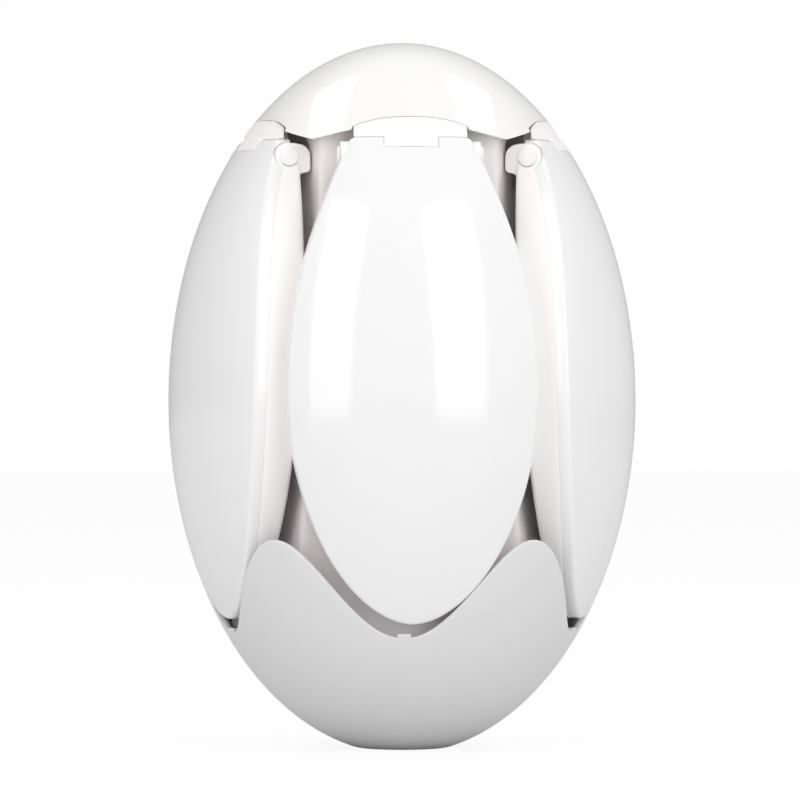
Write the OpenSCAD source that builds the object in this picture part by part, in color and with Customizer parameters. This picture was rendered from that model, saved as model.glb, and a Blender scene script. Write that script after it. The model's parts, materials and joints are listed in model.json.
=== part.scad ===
// Folding garage light: an egg of five lamp leaves hinged round a domed hub.
// It stands on its flat end, with the axis of the egg along Z and leaf 1 facing -Y.
// A leaf is drawn facing +X, with Y across it, and is then turned to its place.

/* [Egg] */
// Largest radius of the closed light
egg_r = 70; // [66:1:76]
// Height of the widest level above the flat end
egg_mid = 104; // [100:1:108]
// Height from the widest level to the top of the dome
egg_up = 107; // [105:0.5:110]
// Radius of the flat end that the light stands on
flat_r = 13.8; // [13:0.2:15]

/* [Leaf outline] */
// Half width of a leaf where it is widest
leaf_half_w = 36.6; // [34:0.2:37.4]
// Height of the widest place of a leaf above the egg's widest level
leaf_wide_up = 5; // [0:0.5:10]
// Height of the top edge of a leaf above the egg's widest level
leaf_top_up = 77; // [76:0.2:78]
// Half width of a leaf at its top edge, before the corners are rounded
leaf_top_w = 17.5; // [17:0.1:18.5]
// Radius of the corners at the top edge
leaf_top_round = 2.8; // [1.5:0.1:3.5]
// Depth of the tip of a leaf below the egg's widest level
leaf_tip_down = 64.7; // [62:0.1:65.5]
// How full the lower half of the outline is, 0.5 being an ellipse
leaf_fullness = 0.553; // [0.5:0.001:0.6]

/* [Leaf body] */
// Wall of the diffuser's curved face
diffuser_t = 1.6; // [1.2:0.1:2]
// Wall of the diffuser's rim
rim_t = 1.6; // [1.2:0.1:2]
// Depth of the diffuser's rim below the face of the egg
rim_depth = 3; // [2.6:0.1:4]
// Wall of the leaf frame round its side
frame_wall = 2.8; // [2.6:0.1:4]
// Wall of the leaf frame at its flat back
back_wall = 2; // [1.6:0.1:2.4]
// Distance of the flat back behind the hinge axis, at the level of back_down
back_in = 3.3; // [2.6:0.1:4]
// Depth below the hinge axis at which back_in is measured
back_down = 4.7; // [4.2:0.1:5.6]
// Lean of the flat back from upright, in degrees
back_lean = 4.5; // [3.5:0.1:5]
// Clearance between a diffuser's wall and the frame's lip
lip_fit = 0.15; // [0.1:0.05:0.3]

/* [Hinge] */
// Depth of the hinge axis inside the face of the egg
hinge_in = 8.36; // [8:0.02:9]
// Height of the hinge axis above the egg's widest level
hinge_up = 71.7; // [71.2:0.1:72]
// Radius of the hinge pin
pin_r = 1.5; // [1.2:0.1:1.8]
// Radius of a hinge pin's heads
pin_head_r = 2.75; // [2.4:0.05:3]
// Thickness of a hinge pin's heads
pin_head_t = 1; // [0.8:0.1:1.5]
// Radial clearance of the pin in its bores
pin_fit = 0.05; // [0.03:0.01:0.08]
// Side clearance between the hinge's pieces
side_gap = 0.3; // [0.2:0.05:0.4]
// Half width of the knuckle in the middle of a leaf
knuckle_y = 8; // [7:0.5:8.5]
// Height above the hinge axis at which the knuckle comes out of the diffuser
knuckle_out_up = 2.3; // [1.3:0.5:3.3]
// Half width of a leaf's shoulders, which fill the dome's arch beside the knuckle
shoulder_y = 16.6; // [16:0.1:16.7]
// Depth of the shoulders' face inside the face of the egg
shoulder_in = 0.3; // [0.2:0.05:0.5]
// Clearance of the knuckle and the shoulders below the dome's edge
crown_gap = 0.3; // [0.3:0.05:0.6]
// Inner face of a leaf's ear, from the leaf's middle
ear_y = 17.5; // [17:0.1:18]
// Thickness of a leaf's ear
ear_t = 3; // [2.5:0.1:3.2]
// Radius of a leaf's ear round the hinge axis
ear_r = 4.1; // [3.8:0.1:4.4]
// Reach of a leaf's ear towards the egg's axis
ear_in = 6.8; // [6:0.1:7]
// Depth of a leaf's ear below the hinge axis
ear_down = 4.6; // [4.4:0.1:6]
// Radius of the hub's cheeks round the hinge axis
cheek_r = 3.8; // [3.4:0.1:3.8]
// Radius of a friction washer
washer_r = 3.6; // [3:0.1:3.7]
// Thickness of a friction washer
washer_t = 0.7; // [0.5:0.1:1]

/* [Hub and dome] */
// Distance of the hub's flat sides behind the hinge axis
hub_in = 7.6; // [7.4:0.1:8.2]
// Depth of the hub's lower face below the hinge axis
hub_down = 10.7; // [9:0.1:12]
// Height of the lower end of the hub's skirt below the valleys of the cup's edge
skirt_down = 3; // [2:0.5:5]
// Wall of the hub's skirt
skirt_t = 2.4; // [2:0.1:2.6]
// Thickness of the hub's floor
hub_floor_t = 3; // [2.5:0.5:4]
// Wall of the hub in the middle of its flat sides
hub_wall = 6; // [5.8:0.1:8]
// Radius of the wiring hole in the hub's floor
hub_wire_r = 12; // [8:1:14]
// Wall of the dome
dome_t = 2; // [1.6:0.1:2.2]
// Clearance between the dome and what it sits on
dome_fit = 0.15; // [0.1:0.05:0.3]
// Height of the dome's edge over the middle of a leaf, above the hinge axis
dome_arch_up = 11.4; // [11.3:0.1:12]
// Fall of the dome's edge from there to the two ends of its arch
dome_arch_fall = 3; // [2.5:0.1:3.2]
// How flat the dome's arch is in its middle, 2 being a parabola
dome_arch_flat = 2.5; // [2.4:0.1:4]
// Half width of the dome's arch
dome_arch_y = 17; // [16:0.1:18]
// Step down at each end of the dome's arch
dome_step = 0.8; // [0.4:0.1:1.2]
// Height of the dome's edge between two leaves, above the hinge axis
dome_lobe_up = 4.9; // [4.5:0.1:6]
// Height of the underside of the plate that carries the dome, above the hinge axis
plate_up = 8.8; // [8.7:0.1:9]
// Thickness of that plate
plate_t = 2.7; // [2:0.1:2.8]

/* [Lamp boards] */
// Thickness of the lamp boards
board_t = 1.2; // [1:0.1:1.4]
// Distance from a leaf's flat back to its lamp board
board_x = 3.4; // [2.8:0.1:3.6]
// Distance from a leaf's outline to the edge of its lamp board
board_inset = 5; // [4:0.2:6]
// Distance of the lamp board's top edge below the level of back_down
board_top = 6; // [5:0.5:8]
// Distance of the dome's lamp board from the dome
dome_board_in = 8.5; // [7:0.5:12]
// Size of a lamp chip along, across and above its board
chip_size = [3.5, 2.8, 0.8];
// Rows of lamp chips on a leaf
chip_rows = 7; // [5:1:8]
// Distance between two rows of lamp chips
chip_pitch = 13.5; // [12:0.5:14]

/* [Column and driver] */
// Distance of the column's flat sides behind the hub's
column_in = 10.3; // [9.5:0.1:11]
// Wall of the column
column_wall = 2.2; // [1.8:0.1:2.6]
// Height of the column's lower end
column_z = 14; // [13.5:0.5:16]
// Thickness of the column's floor
column_floor_t = 3; // [2.5:0.5:4]
// Width, thickness and height of the driver board
driver_size = [41, 1.6, 104];
// Height of the lower edge of the driver board
driver_z = 26; // [25:0.5:30]

/* [Cup] */
// Wall of the cup
cup_t = 1.8; // [1.5:0.1:2.2]
// Thickness of the cup's flat floor
cup_floor_t = 3; // [2.5:0.5:4]
// Depth of the cup's edge under the tip of a leaf, below the egg's widest level
cup_valley_down = 68.7; // [68.2:0.1:70]
// Depth of the cup's edge between two leaves, below the egg's widest level
cup_peak_down = 40.2; // [39:0.2:44]
// How much sharper the cup's valleys are than its peaks
cup_sharp = 1.33; // [0:0.01:2]
// Turn of the cup and the column against the leaves, in degrees
cup_turn = -2.5; // [-3:0.1:0]
// Width of the catch in each valley
catch_w = 4; // [3:0.2:6]
// Height of the catch
catch_h = 1.2; // [0.8:0.1:2]
// Outer radius of the hanging bush
bush_r = 7.5; // [7:0.1:8]
// Nominal radius of the thread in the hanging bush
thread_r = 5; // [4.5:0.1:5.5]
// Radial clearance round the hanging bush
bush_fit = 0.1; // [0.05:0.05:0.2]

/* [Screws] */
// Radius of the large screws
screw_r = 1.5; // [1.2:0.1:1.6]
// Radius of the large screws' heads
screw_head_r = 2.7; // [2.4:0.1:2.8]
// Height of the large screws' heads
screw_head_t = 2; // [1.5:0.1:2.2]
// Radius of the small screws, which hold the leaves' boards
small_r = 1.1; // [0.9:0.1:1.3]
// Radius of the small screws' heads
small_head_r = 2.1; // [1.8:0.1:2.3]
// Height of the small screws' heads
small_head_t = 1.3; // [1:0.1:1.5]

/* [Hidden] */
leaf_count = 5;
first_leaf = -90;
sector = 360 / leaf_count;
half_sector = sector / 2;
far = 130;
// Length by which a cutting shape runs past what it cuts
past = 1;
$fn = 72;

// The lower half of the egg ends in the flat end
egg_low = egg_mid / sqrt(1 - pow(flat_r / egg_r, 2));

// Levels and distances that follow the egg
leaf_wide_z = egg_mid + leaf_wide_up;
leaf_top_z = egg_mid + leaf_top_up;
leaf_tip_z = egg_mid - leaf_tip_down;
hinge_z = egg_mid + hinge_up;
hinge_x = egg_radius(hinge_z) - hinge_in;
back_x = hinge_x - back_in;
back_z = hinge_z - back_down;
knuckle_out_z = hinge_z + knuckle_out_up;
hub_flat = hinge_x - hub_in;
hub_z = hinge_z - hub_down;
hub_bore_r = hub_flat - hub_wall;
skirt_z = egg_mid - cup_valley_down - skirt_down;
skirt_h = hub_z - skirt_z;
plate_z = hinge_z + plate_up;
plate_top_z = plate_z + plate_t;
dome_arch_z = hinge_z + dome_arch_up;
dome_lobe_z = hinge_z + dome_lobe_up;
dome_board_r = egg_radius(plate_top_z, dome_t) - dome_board_in;
column_flat = hub_flat - column_in;
cup_valley_z = egg_mid - cup_valley_down;
cup_peak_z = egg_mid - cup_peak_down;

// Angle per millimetre of the cosine that the upper half of a leaf's outline follows
leaf_taper = acos(leaf_top_w / leaf_half_w) / (leaf_top_z - leaf_wide_z);
lip_depth = diffuser_t + lip_fit;
lip_in = rim_t + lip_fit;

pin_bore_r = pin_r + pin_fit;
ear_out_y = ear_y + ear_t;
// Radii of an ear's two corners, above and below
ear_top_r = 3.8;
ear_low_r = 1.4;
cheek_in_y = knuckle_y + side_gap;
cheek_out_y = ear_y - washer_t - 2 * pin_fit;
pocket_r = cheek_r + side_gap;
pocket_wall_r = pocket_r + rim_t;
knuckle_in = 4.3;
// The webs that carry the cheeks: their upper and lower faces below the hinge axis, and their root in the hub
web_high = 1.6;
web_low = 3.6;
web_root = 2;

hub_screw_ring = column_flat - 0.5;
hub_screw_z = hub_z - 10;
hub_post_r = 3.3;
hub_post_z = hub_screw_z - 4;
// Room left under the ends of the large screws
screw_room = 1;
dome_screw_ring = hub_flat + 0.5;
dome_screw_z = plate_z - 8;
dome_board_screw_ring = 24;
dome_wire_r = 4;
// Radius of each ring of lamp chips under the dome, and how many it has
dome_chip_rings = [[11, 5], [18, 10], [29, 15]];

// Rails in the column: width, reach from the axis, clearance of the board's slot and depth of its stop
driver_rail_y = 5.2;
driver_rail_in = driver_size[0] / 2 - 1.5;
driver_slot = 0.1;
driver_stop = 4;
transformer_place = [0, 58];
coil_size = [18, 15, 16];
core_size = [22, 9, 2.5];
core_off = 3;
core_lap = 0.5;
// Cans on the driver board: place across and up the board, radius and height
capacitor_cans = [[[-8, 30], 6.3, 15], [[8, 84], 5, 14]];
inductor_can = [[10, 28], 5, 11];
// Blocks on the driver board: place across and up the board, and size
driver_chip_blocks = [[[-9, 84], [6, 1.6, 8]], [[12, 42], [6, 1.6, 5]]];
terminal_place = [0, 9];
terminal_size = [16, 9, 10];
cup_screw_ring = 19.5;
cup_boss_r = 3.6;
cup_screw_z = 6.5;
bush_flange_r = 10.5;
bush_flange_t = 2;
nut_t = 3.5;
// Height by which the bush stands above its nut
bush_above = 1.5;
bush_top_z = column_z + column_floor_t + nut_t + bush_above;
nut_af = 19;

cup_low_bands = 10;
cup_edge_bands = 20;
// Distance of the first edge band below the valleys
cup_band_below = 0.5;
// Step of the points along the cup's edge, in degrees
cup_edge_step = 4;
// Half width of the flat crest of the cup's edge between two leaves, and its height above the edge's curve
cup_crest = 0.4;
cup_crest_up = 0.3;
// Heights of the cup's edge round the axis
cup_wave = (cup_peak_z - cup_valley_z) / 2;
cup_mean_z = (cup_peak_z + cup_valley_z) / 2 - cup_sharp;

leaf_names = ["leaf_frame_", "diffuser_", "led_board_", "led_chips_", "board_screws_",
              "hinge_pin_", "hinge_washers_"];

// ---- Shared shapes ----

// Radius of the egg at a height, for a shell lying deeper by inset
function egg_radius(z, inset = 0) =
    let (h = (z > egg_mid ? egg_up : egg_low) - inset)
    (egg_r - inset) * sqrt(max(0, 1 - pow((z - egg_mid) / h, 2)));

// Half of the egg's section, from the axis outwards
module egg_half(inset = 0) {
    intersection() {
        translate([0, egg_mid]) scale([egg_r - inset, egg_up - inset]) circle(1);
        translate([0, egg_mid]) square([egg_r + 1, egg_up + 1]);
    }
    intersection() {
        translate([0, egg_mid]) scale([egg_r - inset, egg_low - inset]) circle(1);
        square([egg_r + 1, egg_mid]);
    }
}

module egg_solid(inset = 0) rotate_extrude() egg_half(inset);

// The egg's wedge that one leaf lies in
module egg_wedge(inset = 0) rotate([0, 0, -half_sector]) rotate_extrude(angle = sector) egg_half(inset);

// Right half of a leaf's outline, from its tip up, drawn inwards by inset
function leaf_low(u, inset) = [
    (leaf_half_w - inset) * pow(cos(u), 2 * leaf_fullness),
    leaf_wide_z - (leaf_wide_z - leaf_tip_z - inset) * sin(u)
];
function leaf_high_w(z, inset) = leaf_half_w * cos(leaf_taper * (z - leaf_wide_z)) - inset;
function leaf_side(inset) =
    let (
        corner = leaf_top_round,
        corner_z = leaf_top_z - inset - corner,
        corner_y = leaf_high_w(corner_z, inset) - corner,
        steps = 8
    )
    concat(
        [for (u = [84 : -6 : 6]) leaf_low(u, inset)],
        [for (s = [0 : steps])
            let (z = leaf_wide_z + (corner_z - leaf_wide_z) * s / steps)
            [leaf_high_w(z, inset), z]],
        [for (a = [30 : 30 : 90]) [corner_y + corner * cos(a), corner_z + corner * sin(a)]]
    );
function mirrored(points) = [for (i = [len(points) - 1 : -1 : 0]) [-points[i][0], points[i][1]]];

// A leaf's outline carried through the egg along X
module leaf_prism(inset = 0)
    rotate([90, 0, 90])
        linear_extrude(far)
            polygon(concat([leaf_low(90, inset)], leaf_side(inset), mirrored(leaf_side(inset))));

// Places things on a leaf's flat back: X stands off it, and Z runs up it from back_z
module on_back() translate([back_x, 0, back_z]) rotate([0, -back_lean, 0]) children();

// All that lies in front of a leaf's flat back by more than off
module before_back(off = 0) on_back() translate([off, -far / 2, -1.5 * far]) cube([far, far, 2 * far]);

// Carries a section drawn round the hinge axis across the leaf, from y1 to y2
module across(y1, y2) translate([hinge_x, y2, hinge_z]) rotate([90, 0, 0]) linear_extrude(y2 - y1) children();

// The same on both sides of the leaf
module across_both(y1, y2) {
    across(y1, y2) children();
    across(-y2, -y1) children();
}

module at_leaf(n) rotate([0, 0, first_leaf + (n - 1) * sector]) children();
module at_leaves() for (n = [1 : leaf_count]) at_leaf(n) children();

// Places things between the leaves, turned with the column
module at_corners()
    for (n = [1 : leaf_count]) rotate([0, 0, first_leaf + (n - 0.5) * sector + cup_turn]) children();

// A flat-sided plate with one side facing each leaf
module leaf_polygon(flat) rotate(first_leaf + half_sector) circle(flat / cos(half_sector), $fn = leaf_count);

// A screw standing at the origin: its head above the surface, its shank below
module screw(r, head_r, head_t, length) {
    cylinder(r = head_r, h = head_t);
    translate([0, 0, -length]) cylinder(r = r, h = length + 0.1);
}

// ---- Leaf ----

board_screw_places = [[14, -13], [-14, -13], [14, -66], [-14, -66], [0, -113]];
chip_columns = [-21, -7, 7, 21];
chip_first = -20;
chip_margin = 4;
// Bosses under the lamp board: their radius, and the depth of their holes above the flat back
board_boss_r = 3;
board_hole_x = 0.8;

module board_screw_spots() on_back()
    for (p = board_screw_places) translate([0, p[0], p[1]]) rotate([0, 90, 0]) children();

// Radius round the hinge axis that stays clear of the dome's edge, at a distance across the leaf
function crown_r(y) = dome_arch_up - crown_gap - dome_arch_fall * pow(abs(y) / dome_arch_y, dome_arch_flat);

// A round about the hinge axis with that radius, larger by more, out to y on both sides
module crown_round(y, more = 0) translate([hinge_x, 0, hinge_z]) rotate([90, 0, 0]) rotate_extrude()
    polygon(concat([[0, -y]], [for (i = [-4 : 4]) [crown_r(y * i / 4) + more, y * i / 4]], [[0, y]]));

// Knuckle in the middle of the hinge, which shows above the diffuser
module knuckle() intersection() {
    union() {
        egg_wedge(lip_depth);
        intersection() {
            egg_wedge();
            translate([0, -far / 2, knuckle_out_z]) cube(far);
        }
    }
    crown_round(knuckle_y);
    across(-knuckle_y, knuckle_y) translate([-knuckle_in, -back_down]) square(far);
}

// Shoulders beside the knuckle: over the diffuser's rim near the face of the egg, and behind it on the frame
module shoulders() intersection() {
    crown_round(shoulder_y);
    union() {
        intersection() {
            egg_wedge(shoulder_in);
            across(-shoulder_y, shoulder_y) translate([0, leaf_top_z - hinge_z + lip_fit]) square(far);
        }
        intersection() {
            egg_wedge(rim_depth);
            across(-shoulder_y, shoulder_y) translate([0, ear_r]) square(far);
        }
    }
}

// Ears at the two sides, which the pin's heads lie against
module ears() across_both(ear_y, ear_out_y) {
    circle(ear_r);
    translate([ear_top_r - ear_in, 0]) circle(ear_top_r);
    translate([ear_low_r - ear_in, ear_low_r - ear_down]) circle(ear_low_r);
    translate([-ear_in, ear_low_r - ear_down]) square([ear_in, ear_down - ear_low_r]);
    translate([ear_low_r - ear_in, -ear_down]) square([ear_in - ear_low_r, ear_down]);
    translate([ear_top_r - ear_in, 0]) square([ear_in - ear_top_r, ear_top_r]);
}

module leaf_frame() color("gainsboro") difference() {
    union() {
        difference() {
            intersection() {
                union() {
                    intersection() { leaf_prism(); egg_wedge(rim_depth); }
                    intersection() { leaf_prism(lip_in); egg_wedge(lip_depth); }
                }
                before_back();
            }
            difference() {
                intersection() { leaf_prism(frame_wall); before_back(back_wall); }
                across(-ear_out_y, ear_out_y) circle(pocket_wall_r);
            }
            across(-ear_y, ear_y) {
                circle(pocket_r);
                translate([-far, -back_down]) square([far, far]);
            }
            across(-far / 2, far / 2) translate([-far, ear_r]) square([far, far]);
        }
        knuckle();
        shoulders();
        ears();
        intersection() {
            board_screw_spots() translate([0, 0, back_wall / 2])
                cylinder(r = board_boss_r, h = board_x - back_wall / 2);
            leaf_prism(1);
        }
    }
    across(-far / 2, far / 2) circle(pin_bore_r);
    across_both(ear_out_y, far / 2) circle(pin_head_r + side_gap);
    board_screw_spots() translate([0, 0, board_hole_x]) cylinder(r = small_r, h = board_x);
}

module diffuser() color("whitesmoke") difference() {
    intersection() {
        leaf_prism();
        rotate([0, 0, -half_sector]) rotate_extrude(angle = sector) difference() {
            egg_half();
            egg_half(rim_depth);
        }
    }
    intersection() { leaf_prism(rim_t); egg_solid(diffuser_t); }
    across(-ear_y, ear_y) circle(pocket_r);
    across(-knuckle_y - lip_fit, knuckle_y + lip_fit)
        translate([-far / 2, knuckle_out_z - hinge_z - lip_fit]) square(far);
    across_both(ear_y, far / 2) circle(max(ear_r, pin_head_r + side_gap) + lip_fit);
}

module led_board() color("silver") difference() {
    intersection() {
        leaf_prism(board_inset);
        on_back() translate([board_x, -far / 2, -board_top - far]) cube([board_t, far, far]);
    }
    board_screw_spots() cylinder(r = small_r + pin_fit, h = far);
}

module led_chips() color("khaki")
    for (row = [0 : chip_rows - 1], y = chip_columns) {
        z = chip_first - row * chip_pitch;
        room = back_z + z > leaf_wide_z ? leaf_high_w(back_z + z, board_inset)
            : (leaf_half_w - board_inset) * pow(max(0, 1 - pow((leaf_wide_z - back_z - z)
                / (leaf_wide_z - leaf_tip_z - board_inset), 2)), leaf_fullness);
        if (abs(y) + chip_size[1] / 2 + chip_margin / 2 < room)
            on_back() translate([board_x + board_t, y - chip_size[1] / 2, z - chip_size[0] / 2])
                cube([chip_size[2], chip_size[1], chip_size[0]]);
    }

module board_screws() color("gray")
    board_screw_spots() translate([0, 0, board_x + board_t])
        screw(small_r, small_head_r, small_head_t, board_x + board_t - board_hole_x);

module hinge_pin() color("lightsteelblue") {
    across(-ear_out_y - pin_fit, ear_out_y + pin_fit) circle(pin_r);
    across_both(ear_out_y + pin_fit, ear_out_y + pin_fit + pin_head_t) circle(pin_head_r);
}

module hinge_washers() color("dimgray")
    across_both(cheek_out_y + pin_fit, cheek_out_y + pin_fit + washer_t) difference() {
        circle(washer_r);
        circle(pin_bore_r);
    }

// ---- Hub and dome ----

module cheeks() across_both(cheek_in_y, cheek_out_y) {
    circle(cheek_r);
    translate([hub_flat - hinge_x - web_root, -web_low])
        square([hinge_x - hub_flat + web_root, web_low - web_high]);
}

// Room for the knuckle of an opening leaf, and for its shoulders above the cheeks' webs
module knuckle_room() crown_round(cheek_in_y, side_gap);
module shoulder_room() intersection() {
    crown_round(shoulder_y + side_gap, side_gap);
    across(-far / 2, far / 2) translate([-far, -web_high]) square([far, far]);
}

// The skirt's outer form, whose sides run down beside the leaves' flat backs, drawn inwards by inset
module skirt_core(inset) {
    low_flat = hub_flat + skirt_h * tan(back_lean) - inset;
    translate([0, 0, skirt_z]) linear_extrude(skirt_h, scale = (hub_flat - inset) / low_flat) leaf_polygon(low_flat);
}

module hub() color("linen") difference() {
    union() {
        difference() {
            intersection() {
                egg_solid(dome_t + dome_fit);
                union() {
                    translate([0, 0, hub_z]) linear_extrude(plate_z - hub_z) leaf_polygon(hub_flat);
                    skirt_core(0);
                }
            }
            intersection() {
                egg_solid(dome_t + dome_fit + skirt_t);
                skirt_core(skirt_t);
            }
            at_leaves() shoulder_room();
        }
        at_leaves() cheeks();
    }
    translate([0, 0, hub_z + hub_floor_t]) cylinder(r = hub_bore_r, h = far);
    translate([0, 0, hub_z - past]) cylinder(r = hub_wire_r, h = far);
    at_leaves() {
        knuckle_room();
        across(-cheek_out_y - past, cheek_out_y + past) circle(pin_bore_r);
        rotate([0, 0, half_sector]) translate([dome_screw_ring, 0, dome_screw_z]) cylinder(r = screw_r, h = far);
    }
    at_corners() translate([hub_screw_ring, 0, hub_z - past]) cylinder(r = screw_r + pin_fit, h = far);
}

module hub_screws() color("gray")
    at_corners() translate([hub_screw_ring, 0, hub_z + hub_floor_t])
        screw(screw_r, screw_head_r, screw_head_t, hub_z + hub_floor_t - hub_screw_z);

// What the dome's edge leaves free over one leaf
function dome_edge() =
    let (lobe_y = egg_radius(dome_lobe_z) * sin(half_sector), end_z = dome_arch_z - dome_arch_fall - dome_step)
    concat(
        [[-lobe_y, dome_lobe_z], [-dome_arch_y, end_z]],
        [for (y = [-1 : 0.125 : 1]) [y * dome_arch_y, dome_arch_z - dome_arch_fall * pow(abs(y), dome_arch_flat)]],
        [[dome_arch_y, end_z], [lobe_y, dome_lobe_z]],
        [[lobe_y, hub_z], [-lobe_y, hub_z]]
    );

module dome() color("white") difference() {
    rotate_extrude() intersection() {
        difference() { egg_half(); egg_half(dome_t); }
        translate([0, dome_lobe_z]) square(far);
    }
    at_leaves() rotate([90, 0, 90]) linear_extrude(far) polygon(dome_edge());
}

module dome_plate() color("silver") difference() {
    intersection() {
        egg_solid(dome_t + dome_fit);
        translate([0, 0, plate_z]) cylinder(r = egg_r, h = plate_t);
    }
    at_leaves() {
        knuckle_room();
        shoulder_room();
        rotate([0, 0, half_sector]) {
            translate([dome_screw_ring, 0, 0]) cylinder(r = screw_r + pin_fit, h = 2 * far);
            translate([dome_board_screw_ring, 0, 0]) cylinder(r = small_r, h = 2 * far);
        }
    }
    cylinder(r = dome_wire_r, h = 2 * far);
}

module plate_screws() color("gray")
    at_leaves() rotate([0, 0, half_sector]) translate([dome_screw_ring, 0, plate_top_z])
        screw(screw_r, small_head_r, small_head_t, plate_top_z - dome_screw_z - screw_room);

module dome_board() color("silver") difference() {
    translate([0, 0, plate_top_z]) cylinder(r = dome_board_r, h = board_t);
    at_leaves() rotate([0, 0, half_sector]) translate([dome_board_screw_ring, 0, 0])
        cylinder(r = small_r + pin_fit, h = 2 * far);
    cylinder(r = dome_wire_r, h = 2 * far);
}

module dome_screws() color("gray")
    at_leaves() rotate([0, 0, half_sector]) translate([dome_board_screw_ring, 0, plate_top_z + board_t])
        screw(small_r, small_head_r, small_head_t, board_t + plate_t);

module dome_chips() color("khaki")
    for (ring = dome_chip_rings, i = [0 : ring[1] - 1])
        rotate([0, 0, first_leaf + 360 * i / ring[1]])
            translate([ring[0] - chip_size[0] / 2, -chip_size[1] / 2, plate_top_z + board_t])
                cube(chip_size);

// ---- Column and driver ----

module column() color("rosybrown") difference() {
    rotate([0, 0, cup_turn]) difference() {
        translate([0, 0, column_z]) linear_extrude(hub_z - column_z) leaf_polygon(column_flat);
        difference() {
            translate([0, 0, column_z + column_floor_t])
                linear_extrude(far + far) leaf_polygon(column_flat - column_wall);
            driver_rails();
        }
        translate([0, 0, column_z - past]) cylinder(r = bush_r + bush_fit, h = column_floor_t + 2 * past);
    }
    at_corners() {
        translate([hub_screw_ring, 0, hub_screw_z - past]) cylinder(r = screw_r, h = far);
        translate([cup_screw_ring, 0, column_z - past]) cylinder(r = screw_r + pin_fit, h = column_floor_t + 2 * past);
    }
}

// What stays standing inside the column: two slotted rails for the driver board, and screw posts
module driver_rails() {
    rail_z = driver_z - driver_stop;
    for (side = [0, 180]) rotate([0, 0, side]) difference() {
        translate([driver_rail_in, -driver_rail_y / 2, rail_z])
            cube([far, driver_rail_y, driver_stop + driver_size[2]]);
        translate([0, -driver_size[1] / 2 - driver_slot, driver_z])
            cube([driver_size[0] / 2 + driver_slot, driver_size[1] + 2 * driver_slot, far]);
    }
    for (n = [1 : leaf_count]) rotate([0, 0, first_leaf + (n - 0.5) * sector])
        translate([hub_screw_ring, 0, hub_post_z]) cylinder(r = hub_post_r, h = far);
}

module on_driver(x, z) rotate([0, 0, cup_turn]) translate([x, -driver_size[1] / 2, z]) children();

module driver_board() color("seagreen") rotate([0, 0, cup_turn])
    translate([-driver_size[0] / 2, -driver_size[1] / 2, driver_z]) cube(driver_size);

// A block before the driver board's front face by off, centred on a place across and up the board
module driver_block(place, off, size)
    on_driver(place[0] - size[0] / 2, driver_z + place[1] - size[2] / 2) translate([0, -off - size[1], 0]) cube(size);

// A can that stands on the board's front face
module driver_can(place, r, h) on_driver(place[0], driver_z + place[1]) rotate([90, 0, 0]) cylinder(r = r, h = h);

module transformer() color("goldenrod") {
    driver_block(transformer_place, 0, coil_size);
    for (side = [-1, 1])
        driver_block(transformer_place + [0, side * ((coil_size[2] + core_size[2]) / 2 - core_lap)], core_off, core_size);
}

module capacitors() color("midnightblue") for (can = capacitor_cans) driver_can(can[0], can[1], can[2]);
module inductor() color("darkgreen") driver_can(inductor_can[0], inductor_can[1], inductor_can[2]);
module driver_chips() color("black") for (chip = driver_chip_blocks) driver_block(chip[0], 0, chip[1]);
module terminal_block() color("green") driver_block(terminal_place, 0, terminal_size);

// ---- Cup and hanging bush ----

// Levels that the cup's section turns a little at: close together where its edge rises and falls
function cup_levels(z0) =
    let (
        edge_z = cup_valley_z - cup_band_below,
        low = asin((egg_mid - z0) / egg_low),
        high = asin((egg_mid - edge_z) / egg_low)
    )
    concat(
        [for (i = [0 : cup_low_bands - 1]) egg_mid - egg_low * sin(low + (high - low) * i / cup_low_bands)],
        [for (i = [0 : cup_edge_bands]) edge_z + (cup_peak_z - edge_z) * i / cup_edge_bands]
    );

// Half of the cup's section from z0 up, as bands that follow the egg
module cup_half(inset, z0) polygon(concat(
    [[0, z0]],
    [for (z = cup_levels(z0)) [egg_radius(z, inset), z]],
    [[0, cup_peak_z]]
));

function cup_edge_z(a) = cup_mean_z - cup_wave * cos(leaf_count * a) + cup_sharp * cos(2 * leaf_count * a);
function cup_edge_point(a) = let (z = cup_edge_z(a)) [egg_radius(z) * sin(a), z];
function last(points) = points[len(points) - 1];
function cup_edge_side() = concat(
    [for (a = [cup_edge_step : cup_edge_step : half_sector - cup_edge_step]) cup_edge_point(a)],
    [cup_edge_point(half_sector) + [-cup_crest, cup_crest_up]]
);

// What the cup's edge leaves free under one leaf, with the catch standing in the valley
function cup_edge() = concat(
    mirrored(cup_edge_side()),
    [[-catch_w / 2, cup_valley_z], [-catch_w / 2, cup_valley_z + catch_h]],
    [[catch_w / 2, cup_valley_z + catch_h], [catch_w / 2, cup_valley_z]],
    cup_edge_side(),
    [for (side = [1, -1]) [side * last(cup_edge_side())[0], cup_peak_z + far]]
);

module cup() color("white") difference() {
    union() {
        rotate_extrude() difference() {
            cup_half(0, 0);
            cup_half(cup_t, cup_floor_t);
        }
        intersection() {
            rotate_extrude() cup_half(cup_t / 2, cup_floor_t / 2);
            at_corners() translate([cup_screw_ring, 0, cup_floor_t / 2])
                cylinder(r = cup_boss_r, h = column_z - cup_floor_t / 2);
        }
    }
    rotate([0, 0, cup_turn]) at_leaves() rotate([90, 0, 90]) linear_extrude(far) polygon(cup_edge());
    at_corners() translate([cup_screw_ring, 0, cup_screw_z]) cylinder(r = screw_r, h = far);
    translate([0, 0, -past]) cylinder(r = bush_r + bush_fit, h = far);
}

module cup_screws() color("gray")
    at_corners() translate([cup_screw_ring, 0, column_z + column_floor_t])
        screw(screw_r, screw_head_r, screw_head_t, column_z + column_floor_t - cup_screw_z - screw_room);

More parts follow.
